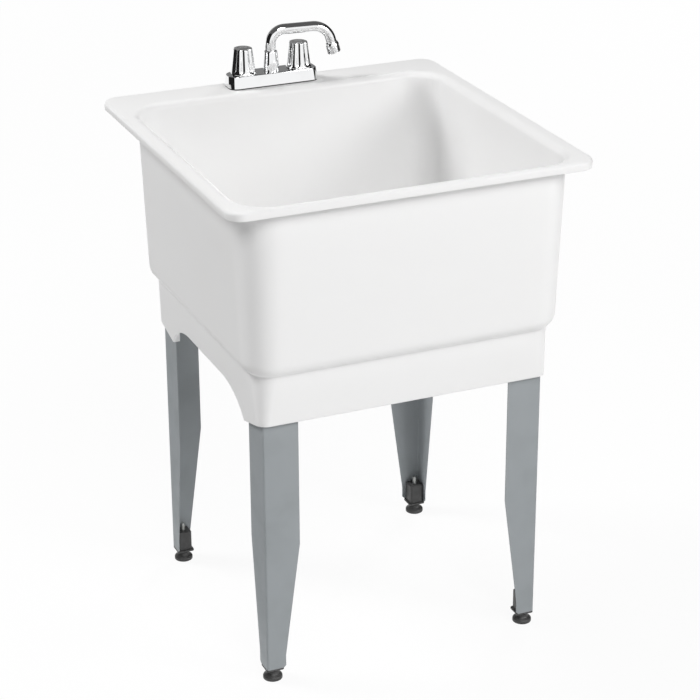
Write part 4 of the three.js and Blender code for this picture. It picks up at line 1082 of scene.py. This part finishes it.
# %% Helper: threaded rod
def threaded_rod(root, crest, low, high, pitch, steps=24):
    bm = bmesh.new()
    turns = math.ceil((high - low) / pitch) + 2
    shape = ((root, 0), (root, 0.12), (crest, 0.44), (crest, 0.62), (root, 0.94), (root, 1))
    verts = [bm.verts.new((r, 0, low - pitch + share * pitch)) for r, share in shape]
    edges = [bm.edges.new(pair) for pair in zip(verts, verts[1:])]
    bmesh.ops.spin(
        bm, geom=verts + edges, cent=(0, 0, 0), axis=(0, 0, 1), dvec=(0, 0, pitch / steps),
        angle=2 * math.pi * turns, steps=turns * steps, use_merge=False, use_duplicate=False,
    )
    bmesh.ops.remove_doubles(bm, verts=bm.verts[:], dist=0.01)
    for z, side in ((low, -1), (high, 1)):
        cut = bmesh.ops.bisect_plane(
            bm, geom=bm.verts[:] + bm.edges[:] + bm.faces[:], plane_co=(0, 0, z), plane_no=(0, 0, side),
            clear_outer=True, dist=1e-5,
        )["geom_cut"]
        rim_edges = [part for part in cut if isinstance(part, bmesh.types.BMEdge)]
        bmesh.ops.edgeloop_fill(bm, edges=rim_edges)
    bmesh.ops.recalc_face_normals(bm, faces=bm.faces[:])
    return bm


# %% [markdown]
# ## Feet
#
# A plastic insert fills each leg's toe, a threaded stud screws up through it, and a round pad turns on the
# stud's end. Turning the hexagon over the pad levels the sink. The insert stays with the leg, and the stud
# and pad ride on the foot's own body, which slides down as the foot is screwed out.

# %% Feet
STUD_PITCH = 1.25
STUD_ROOT = 3.45
STUD_CREST = 4.0
STUD_HOLE = 4.25
STUD_PLACE = 14.5
HEX_HEIGHT = 3.8
HEX_RADIUS = 6.5
HEX_LOW = 15.2
PAD_RADIUS = 16
PAD_HUB = 15
PAD_SEAT = 4.8
SOLE = 3
SOLE_SIZE = 30
SOLE_EDGE = 0.6
BLOCK = (1.8, 27.2)
BLOCK_EDGE = 1.2


def square(low, high, inset=0.0):
    return Outline(low + inset, high - inset, low + inset, high - inset, LEG_BEND - inset)


def foot_insert(low, high):
    """A rounded block on a wider sole."""
    bm = bmesh.new()
    shoulder = low + SOLE
    start, note = first_ring(bm, square(0, SOLE_SIZE), low, 5)
    stations = (
        (square(0, SOLE_SIZE), shoulder - SOLE_EDGE), (square(0, SOLE_SIZE, SOLE_EDGE), shoulder),
        (square(*BLOCK), shoulder), (square(*BLOCK), high - BLOCK_EDGE),
        (square(*BLOCK, BLOCK_EDGE), high),
    )
    end = lofted(bm, start, note, [on(outline, z) for outline, z in stations])
    return capped(bm, note, start, end)


def foot_stud(low, high):
    """A threaded rod with a hexagon on it, whose upper and lower edges are chamfered."""
    hexagon = bmesh.new()
    bmesh.ops.create_cone(
        hexagon, cap_ends=True, segments=6, radius1=HEX_RADIUS, radius2=HEX_RADIUS, depth=HEX_HEIGHT,
    )
    level = [e for e in hexagon.edges if abs(e.verts[0].co.z - e.verts[1].co.z) < 1e-4]
    bmesh.ops.bevel(hexagon, geom=level, offset=0.5, offset_type="OFFSET", affect="EDGES",
                    segments=2, profile=0.5, material=-1)
    moved(hexagon, z=HEX_LOW + HEX_HEIGHT / 2)
    return worked(threaded_rod(STUD_ROOT, STUD_CREST, low, high, STUD_PITCH, 18), add=[hexagon])


def foot_pad():
    """A low dome with a hub round the stud's end, its edges rounded."""
    return turned([
        (0, 0), (PAD_RADIUS, 0, 1.2), (PAD_RADIUS, 6, 1.5), (10, 10, 2.0), (9, PAD_HUB, 0.8),
        (STUD_HOLE, PAD_HUB, 0.4), (STUD_HOLE, PAD_SEAT), (0, PAD_SEAT),
    ])


stud_low, stud_high = box_mm("foot_stud_front_left")
stud = foot_stud(stud_low.z, stud_high.z)
for name, *corner in CORNERS:
    axis = middle_mm(f"foot_pad_{name}")
    low, high = box_mm(f"toe_insert_{name}")
    hole = rod(STUD_HOLE, low.z - 5, high.z + 5, x=STUD_PLACE, y=STUD_PLACE)
    insert = to_corner(worked(foot_insert(low.z, high.z), cut=[hole]), *corner)
    finished(f"toe_plug_{name}", insert, "root", [f"toe_insert_{name}"], "black_plastic")
    screw = moved(stud.copy(), axis.x, axis.y)
    finished(f"level_stud_{name}", screw, f"{name}_foot", [f"foot_stud_{name}"], "zinc")
    pad = moved(foot_pad(), axis.x, axis.y)
    finished(f"level_pad_{name}", pad, f"{name}_foot", [f"foot_pad_{name}"], "black_plastic")
stud.free()

# %% [markdown]
# ## Faucet cover and gasket
#
# The chrome cover is a thin shell that hides the valves' water way. Its sides lean in a little, as a
# stamped or cast cover's do, so its front face mirrors the bright room and not the dark of the bowl. It is
# drawn as an outer block with rounded upper edges, and an inner block and three round holes are cut out of
# it. Under it lies a thin rubber gasket of nearly the same outline.

# %% Cover and gasket
COVER_CORNER = 15
COVER_EDGE = 2
COVER_LEAN = 12
END_SHARE = 0.35
COVER_WALL = 2.5
VALVE_HOLE = 12.3
SPOUT_HOLE = 11.4
SPOUT_AXIS = middle_mm("spout_nut")
CLEAR = 10


def plate(outline, low, high, edge=0.0, steps=6, lean=0.0):
    """A rounded plate. edge rounds its upper side, and lean draws its sides in, in degrees."""
    x0, x1, y0, y1, corner = outline

    def drawn_in(depth, out=0.0):
        ends = depth * END_SHARE
        return Outline(x0 + ends - out, x1 - ends + out, y0 + depth - out, y1 - depth + out, corner + out)

    bm = bmesh.new()
    start, note = first_ring(bm, outline, low, 12)
    slope = math.tan(math.radians(lean))
    turn = arc(-edge, high - edge, edge, lean, 90, steps if edge else 1)
    hold = turn[0][1] - 1
    depth = (turn[0][1] - low) * slope + turn[0][0]
    rules = [on(drawn_in((hold - low) * slope), hold)] + [on(drawn_in(depth, out), z) for out, z in turn]
    capped(bm, note, start, lofted(bm, start, note, rules))
    bmesh.ops.remove_doubles(bm, verts=bm.verts[:], dist=1e-4)
    return bm


def cover():
    low, high = box_mm("faucet_cover")
    outer = Outline(low.x, high.x, low.y, high.y, COVER_CORNER)
    inner = Outline(low.x + COVER_WALL, high.x - COVER_WALL, low.y + COVER_WALL, high.y - COVER_WALL,
                    COVER_CORNER - COVER_WALL)
    hollow = plate(inner, low.z - 1, high.z - COVER_WALL, lean=COVER_LEAN)
    holes = at_valves(VALVE_HOLE, low.z, high.z + CLEAR)
    holes.append(rod(SPOUT_HOLE, low.z, high.z + CLEAR, x=SPOUT_AXIS.x, y=SPOUT_AXIS.y))
    return worked(plate(outer, low.z, high.z, COVER_EDGE, 8, COVER_LEAN), cut=[hollow] + holes)


def gasket():
    low, high = box_mm("faucet_gasket")
    outline = Outline(low.x, high.x, low.y, high.y, COVER_CORNER - 1)
    holes = at_valves(VALVE_HOLE, low.z - CLEAR, high.z + CLEAR)
    return worked(plate(outline, low.z, high.z, 0.5, 2), cut=holes)


finished("chrome_cover", cover(), "root", ["faucet_cover"], "chrome")
finished("deck_gasket", gasket(), "root", ["faucet_gasket"], "rubber")

# %% [markdown]
# ## Handles
#
# Each handle is a tapered knob with eight flutes, die-cast and chrome plated. A fine circle is pulled up
# through the heights of the knob. At each height it has a radius and a flute depth, and the flute is a
# cosine dip round the circle, sharpened by squaring. The flutes fade in above the plain band at the foot
# and out again at the crown.

# %% Handles and caps
FLUTES = 8
FLUTE_DEPTH = 2.2
HANDLE_SIDES = 128
HANDLE_GAP = 0.5
# Radius, flute depth and rise of each ring, up to the shoulder
HANDLE_FOOT = (
    (21.6, 0, 0), (22, 0, 0.4), (22, 0, 2.6), (21.8, 0.05, 3.0), (21.5, 0.5, 4.0), (21.2, 1.5, 5.4),
    (21, FLUTE_DEPTH, 7),
)
HANDLE_TAPER = 4.5
HANDLE_CROWN = 2
BONNET_BORE = 16.45
STEM_BORE = 4.3
SCREW_BORE = 2.25
SCREW_HEAD = 5.2
SCREW_WEB = 2.2
CAP_RADIUS = 9
CAP_SEAT = 9.2
CAP_DEPTH = 2.5


def handle_stations(foot, top):
    """Radius, flute depth and height, from the foot band to the rounded crown."""
    stations = [(radius, depth, foot + rise) for radius, depth, rise in HANDLE_FOOT]
    wide, _, shoulder = stations[-1]
    crown = top - HANDLE_CROWN
    for share in (0.06, 0.5, 0.94, 1.0):
        height = shoulder + (crown - shoulder) * share
        stations.append((wide - HANDLE_TAPER * share, FLUTE_DEPTH, height))
    centre = wide - HANDLE_TAPER - HANDLE_CROWN
    for turn in (25, 50, 70, 90):
        out, up = math.cos(math.radians(turn)), math.sin(math.radians(turn))
        stations.append((centre + HANDLE_CROWN * out, FLUTE_DEPTH * out, crown + HANDLE_CROWN * up))
    return stations


def fluted(radius, depth, z):
    """A rule that places a vertex on a fluted circle, in its own direction from the axis."""
    def rule(direction):
        angle = math.atan2(direction.y, direction.x)
        dip = ((1 - math.cos(FLUTES * angle)) / 2) ** 2
        return direction.normalized() * (radius - depth * dip) + Vector((0, 0, z))
    return rule


def fluted_knob(foot, top):
    bm = bmesh.new()
    note = bm.verts.layers.float_vector.new("share")
    first, *rules = [fluted(*station) for station in handle_stations(foot, top)]
    for vert in bmesh.ops.create_circle(bm, segments=HANDLE_SIDES, radius=1.0)["verts"]:
        vert[note] = vert.co
        vert.co = first(vert[note])
    start = bm.edges[:]
    return capped(bm, note, start, lofted(bm, start, note, rules))


def make_handle(side):
    low, high = box_mm(f"handle_{side}")
    axis = VALVES[side]
    stem_top = box_mm(f"valve_stem_{side}")[1].z
    bonnet_top = box_mm(f"bonnet_nut_{side}")[1].z
    cap_low, cap_high = box_mm(f"index_cap_{side}")
    above = high.z + CLEAR
    hollows = [
        rod(BONNET_BORE, low.z - CLEAR, bonnet_top + 1), rod(STEM_BORE, bonnet_top, stem_top + 0.2, 24),
        rod(SCREW_BORE, stem_top, high.z, 24), rod(SCREW_HEAD, stem_top + SCREW_WEB, above, 32),
        rod(CAP_SEAT, high.z - CAP_DEPTH, above),
    ]
    foot = box_mm("faucet_cover")[1].z + HANDLE_GAP
    knob = moved(worked(fluted_knob(foot, high.z), cut=hollows), axis.x, axis.y)
    body = f"{side}_handle"
    finished(f"fluted_handle_{side}", knob, body, [f"handle_{side}"], "chrome")
    rise = cap_high.z - cap_low.z
    cap = turned([
        (0, 0), (CAP_RADIUS, 0, 0.3), (CAP_RADIUS, rise - 1.3, 0.9), (5.4, rise, 3.0), (0, rise),
    ])
    moved(cap, axis.x, axis.y, cap_low.z)
    finished(f"handle_cap_{side}", cap, body, [f"index_cap_{side}"], "chrome")


for side in VALVES:
    make_handle(side)

# %% [markdown]
# ## Spout
#
# The spout is a bent chrome tube. A circle is pulled straight up, spun about the centre of the first bend,
# pulled along the level run, spun down round the last bend and pulled out to its end. The wall is then
# given to it by a Solidify modifier, inwards, which leaves the real bore open.

# %% Spout
TUBE_FOOT = box_mm("spout_tube")[0].z
TUBE_RADIUS = 9
TUBE_WALL = 1.6
LEVEL_Z = 928
FIRST_BEND = 24
LAST_BEND = 34
LEVEL_RUN = 51
LAST_SWEEP = math.radians(75)
TAIL = 18
SPOUT_SWING = math.radians(-5)


def spun_on(bm, ring, centre, sweep, steps):
    """Carries a ring of edges round a bend in the XZ plane, and returns the ring at its end."""
    verts = list({vert for edge in ring for vert in edge.verts})
    last = bmesh.ops.spin(
        bm, geom=verts + ring, cent=centre, axis=(0, 1, 0), angle=sweep, steps=steps,
        use_merge=False, use_duplicate=False,
    )["geom_last"]
    return [part for part in last if isinstance(part, bmesh.types.BMEdge)]


def pulled_on(bm, ring, step):
    """Carries a ring of edges straight on."""
    verts, ring = grown(bm, ring)
    bmesh.ops.translate(bm, vec=step, verts=list(verts))
    return ring


def bent_tube(radius):
    """The tube's skin, upright on the Z axis from its foot, with its arm along +X."""
    bm = bmesh.new()
    bmesh.ops.create_circle(bm, segments=40, radius=radius)
    moved(bm, z=TUBE_FOOT)
    rise = LEVEL_Z - FIRST_BEND
    ring = pulled_on(bm, bm.edges[:], (0, 0, rise - TUBE_FOOT))
    ring = spun_on(bm, ring, (FIRST_BEND, 0, rise), math.pi / 2, 20)
    ring = pulled_on(bm, ring, (LEVEL_RUN, 0, 0))
    turn = FIRST_BEND + LEVEL_RUN
    ring = spun_on(bm, ring, (turn, 0, LEVEL_Z - LAST_BEND), LAST_SWEEP, 20)
    pulled_on(bm, ring, (TAIL * math.cos(LAST_SWEEP), 0, -TAIL * math.sin(LAST_SWEEP)))
    return bm


def to_spout(bm):
    """From the spout's own frame to its place on the hub."""
    bmesh.ops.rotate(bm, cent=(0, 0, 0), matrix=Matrix.Rotation(SPOUT_SWING, 3, "Z"), verts=bm.verts[:])
    return moved(bm, SPOUT_AXIS.x, SPOUT_AXIS.y)


tube = finished("spout_pipe", to_spout(bent_tube(TUBE_RADIUS)), "spout", ["spout_tube"], "chrome")
wall = tube.modifiers.new("wall", "SOLIDIFY")
wall.thickness = TUBE_WALL * MM
wall.offset = -1

# %% [markdown]
# The spout's end has an outside thread for a garden hose, and the hub that holds the spout is a tapered
# nut. Both are turned. The hose thread is a threaded sleeve joined to the turned body.

# %% Hose end and hub
HOSE_CREST = 11.5
HOSE_ROOT = 10.5
HOSE_PITCH = 2.2
TUBE_BORE = 7.4
END_LOW = -6
END_HIGH = 12
HUB_RADIUS = 14
HUB_BORE = 9.3
HUB_SEAT = 11.35
HUB_DEPTH = 23.6


def hose_end():
    """Its own +Z points back up the tube from the tube's end."""
    body = turned([
        (TUBE_BORE, END_LOW), (HOSE_ROOT, END_LOW), (HOSE_ROOT, 5.6), (HOSE_CREST, 6.2, 0.3),
        (HOSE_CREST, 8, 0.6), (TUBE_RADIUS + 1.2, END_HIGH, 0.4), (TUBE_RADIUS + 0.2, END_HIGH),
        (TUBE_RADIUS + 0.2, -0.2), (TUBE_BORE, -0.2),
    ])
    sleeve = threaded_rod(HOSE_ROOT - 0.2, HOSE_CREST, END_LOW, 5.2, HOSE_PITCH, 40)
    bore = rod(HOSE_ROOT - 0.6, END_LOW - 1, END_HIGH)
    bm = worked(body, add=[worked(sleeve, cut=[bore])])
    end_x = FIRST_BEND + LEVEL_RUN + LAST_BEND * math.sin(LAST_SWEEP) + TAIL * math.cos(LAST_SWEEP)
    end_z = LEVEL_Z - LAST_BEND * (1 - math.cos(LAST_SWEEP)) - TAIL * math.sin(LAST_SWEEP)
    tilt = Matrix.Rotation(LAST_SWEEP - math.pi / 2, 3, "Y")
    bmesh.ops.rotate(bm, cent=(0, 0, 0), matrix=tilt, verts=bm.verts[:])
    return to_spout(moved(bm, end_x, 0, end_z))


def hub():
    low, high = box_mm("spout_nut")
    web = high.z - HUB_DEPTH
    bm = turned([
        (HUB_SEAT, low.z), (HUB_RADIUS, low.z, 0.5), (HUB_RADIUS, low.z + 4, 1.2),
        (11.2, high.z - 1, 0.5), (10.2, high.z, 0.4), (HUB_BORE, high.z), (HUB_BORE, web), (HUB_SEAT, web),
    ])
    return moved(bm, SPOUT_AXIS.x, SPOUT_AXIS.y)


finished("hose_thread_end", hose_end(), "spout", ["hose_end"], "chrome")
finished("spout_hub", hub(), "root", ["spout_nut"], "chrome")

# %% [markdown]
# ## Under the deck
#
# Behind the bowl the faucet's two threaded shanks come down through the deck, each held by a steel washer
# and a plastic nut with two wings. The brass water way above them is cast in one piece: two barrels, the
# bar between them and the collar that the spout stands in.

# %% Water way, washers and wing nuts
SHANK_PITCH = 1.8
SHANK_ROOT = 9.6
SHANK_CREST = 10.3
SHANK_BORE = 6.5
BARREL_RADIUS = 12
BARREL_BORE = 8.5
BARREL_DEPTH = 20
BARREL_RISE = 6
COLLAR_RADIUS = 11.1
COLLAR_BORE = 9.3
COLLAR_DEPTH = 11.2
BAR_DROP = 2.8
BAR_HEIGHT = 13
BAR_HALF = 6.5
BAR_END = 9.5
NUT_RADIUS = 15
NUT_BORE = 10.55
WING_REACH = 19
WING_HALF = 2.5
WASHER_BORE = 10.6
WASHER_RADIUS = 18


def water_way():
    low, high = box_mm("faucet_waterway")
    cover_top = box_mm("faucet_cover")[1].z
    bar_top = cover_top - BAR_DROP
    bar_foot = bar_top - BAR_HEIGHT
    barrel_top = cover_top + BARREL_RISE
    seat = barrel_top - BARREL_DEPTH
    above = high.z + CLEAR
    left, right = VALVES["left"].x, VALVES["right"].x
    x, y = SPOUT_AXIS.x, SPOUT_AXIS.y
    block = bar((left + BAR_END, y - BAR_HALF, bar_foot), (right - BAR_END, y + BAR_HALF, bar_top))
    add = [rod(COLLAR_RADIUS, bar_foot, high.z, x=x, y=y)]
    cut = [rod(COLLAR_BORE, bar_top - COLLAR_DEPTH, above, x=x, y=y)]
    shank = threaded_rod(SHANK_ROOT, SHANK_CREST, low.z, RIM_TOP + 1, SHANK_PITCH, 32)
    for x in (left, right):
        add += [rod(BARREL_RADIUS, RIM_TOP + 0.3, barrel_top, x=x, y=y), moved(shank.copy(), x, y)]
        cut += [rod(BARREL_BORE, seat, above, x=x, y=y)]
        cut += [rod(SHANK_BORE, low.z - CLEAR, seat + 1, x=x, y=y)]
    shank.free()
    return worked(block, add, cut)


def wing_nut(side):
    low, high = box_mm(f"shank_nut_{side}")
    axis = VALVES[side]
    body = turned([
        (SHANK_ROOT, low.z + 4), (NUT_RADIUS, low.z + 4, 1.2), (NUT_RADIUS, high.z, 1.0),
        (SHANK_ROOT, high.z),
    ])
    wings = bar((-WING_REACH, -WING_HALF, low.z), (WING_REACH, WING_HALF, high.z - 3))
    upright = [e for e in wings.edges if abs(e.verts[0].co.z - e.verts[1].co.z) > 1]
    bmesh.ops.bevel(wings, geom=upright, offset=1.6, offset_type="OFFSET", affect="EDGES",
                    segments=4, profile=0.5, material=-1)
    bore = rod(NUT_BORE, low.z - CLEAR, high.z + CLEAR)
    return moved(worked(body, [wings], [bore]), axis.x, axis.y)


def flat_ring(node, bore, radius, edge=0.0):
    """A washer or a gasket. edge rounds its bore."""
    low, high = box_mm(node)
    return turned([(bore, low.z, edge), (radius, low.z, 0.4), (radius, high.z, 0.4), (bore, high.z, edge)])


finished("brass_water_way", water_way(), "root", ["faucet_waterway"], "brass")
for side, axis in VALVES.items():
    washer = moved(flat_ring(f"shank_washer_{side}", WASHER_BORE, WASHER_RADIUS), axis.x, axis.y)
    finished(f"steel_washer_{side}", washer, "root", [f"shank_washer_{side}"], "zinc")
    finished(f"wing_nut_{side}", wing_nut(side), "root", [f"shank_nut_{side}"], "white_fitting")

# %% [markdown]
# ## Drain
#
# The drain stands in the floor of the bowl: a flanged body with two crossbars, a gasket, a washer and a
# locknut that clamp the floor, and a tailpiece held by a ribbed nut. A rubber stopper closes it. All of it
# is turned, and lugs, ribs and bars are added round it by a loop.

# %% Drain
THREAD = 24.55
DRAIN_BORE = 21
DRAIN_BARREL = 24.3
DRAIN_RIM = 42
LOCK_RADIUS = 30
LOCK_FLANGE = 35
TAIL_NUT_RADIUS = 28.4
TAIL_BORE = 19.35
PIPE_BORE = 17.45
PIPE_RADIUS = 19.05
PIPE_FLANGE = 23.8
CLAMP_RADIUS = 34
FLANGE_HEIGHT = 3.2
CROSSBAR_FOOT = 515
CROSSBAR_TOP = 519
CROSSBAR_REACH = 22
CROSSBAR_HALF = 2


def around(solid, count):
    """Copies of a solid turned round the Z axis."""
    copies = []
    for i in range(count):
        copy = solid.copy()
        turn = Matrix.Rotation(2 * math.pi * i / count, 3, "Z")
        bmesh.ops.rotate(copy, cent=(0, 0, 0), matrix=turn, verts=copy.verts[:])
        copies.append(copy)
    solid.free()
    return copies


def drain_body():
    low, high = box_mm("drain_body")
    seat = high.z - FLANGE_HEIGHT
    body = turned([
        (DRAIN_BORE, low.z, 0.4), (DRAIN_BARREL, low.z, 0.5), (DRAIN_BARREL, seat, 0.3),
        (DRAIN_RIM, seat, 0.2), (DRAIN_RIM, high.z - 2.2, 0.6), (40, high.z, 1.2), (23, high.z, 1.0),
        (DRAIN_BORE, seat - 10.2, 2.0),
    ], 96)
    reach, half = CROSSBAR_REACH, CROSSBAR_HALF
    bars = [
        bar((-x, -y, CROSSBAR_FOOT), (x, y, CROSSBAR_TOP)) for x, y in ((reach, half), (half, reach))
    ]
    return worked(body, bars)


def lock_nut():
    low, high = box_mm("drain_locknut")
    body = turned([
        (THREAD, low.z), (LOCK_RADIUS, low.z, 0.8), (LOCK_RADIUS, high.z - 3, 0.8),
        (LOCK_FLANGE, high.z - 3, 0.5), (LOCK_FLANGE, high.z, 0.8), (THREAD, high.z),
    ])
    lug = bar((LOCK_RADIUS - 1, -3, low.z), (LOCK_RADIUS + 3, 3, high.z - 2))
    return worked(body, around(lug, 6))


def tail_nut():
    low, high = box_mm("tailpiece_nut")
    body = turned([
        (TAIL_BORE, low.z, 0.3), (26.55, low.z, 1.0), (TAIL_NUT_RADIUS, low.z + 2, 0.8),
        (TAIL_NUT_RADIUS, high.z, 0.8), (THREAD, high.z), (THREAD, low.z + 4), (TAIL_BORE, low.z + 4),
    ])
    rib = bar((27.5, -1.4, low.z + 2.5), (29.4, 1.4, high.z - 1))
    return worked(body, around(rib, 16))


def tail_pipe():
    low, high = box_mm("tailpiece")
    return turned([
        (PIPE_BORE, low.z, 0.5), (PIPE_RADIUS, low.z, 0.6), (PIPE_RADIUS, high.z - 2, 0.6),
        (PIPE_FLANGE, high.z - 2, 0.4), (PIPE_FLANGE, high.z, 0.5), (PIPE_BORE, high.z, 0.5),
    ])


def rubber_stopper():
    low, high = box_mm("stopper")
    lip = low.z + 13.4
    return turned([
        (0, low.z), (20.7, low.z, 1.2), (22.4, lip, 0.4), (27, lip, 0.8), (26, lip + 4, 1.4),
        (5.4, lip + 6, 3.0), (5.4, high.z - 6, 1.5), (9, high.z - 3, 2.2), (7, high.z, 1.2), (0, high.z),
    ])


DRAIN_PIECES = (
    ("drain_flange", drain_body(), "root", "drain_body", "white_fitting"),
    ("drain_nut", lock_nut(), "root", "drain_locknut", "white_fitting"),
    ("waste_pipe", tail_pipe(), "root", "tailpiece", "white_fitting"),
    ("waste_nut", tail_nut(), "root", "tailpiece_nut", "white_fitting"),
    ("floor_gasket", flat_ring("drain_gasket", DRAIN_HOLE, CLAMP_RADIUS, 0.2), "root", "drain_gasket",
     "rubber"),
    ("floor_washer", flat_ring("drain_washer", DRAIN_HOLE, CLAMP_RADIUS, 0.2), "root", "drain_washer",
     "white_fitting"),
    ("waste_gasket", flat_ring("tailpiece_washer", TAIL_BORE, PIPE_FLANGE, 0.2), "root",
     "tailpiece_washer", "rubber"),
    ("rubber_plug", rubber_stopper(), "plug", "stopper", "rubber"),
)
for name, solid, body, node, slot in DRAIN_PIECES:
    finished(name, moved(solid, DRAIN_AXIS.x, DRAIN_AXIS.y), body, [node], slot)

# %% [markdown]
# ## Pieces that stay as they are
#
# The cartridges, stems, bonnet nuts, screws and the spout's seal are closed in by the handles and the hub.
# Their CAD shapes are right, so they stay, and each gets the finish of its material slot.

# %% Finish the CAD pieces that stay
for row in frame["record"]["subparts"]:
    for slot in frame["nodes"][row["node"]].material_slots:
        slot.material = FINISHES[row["material_slot"]]
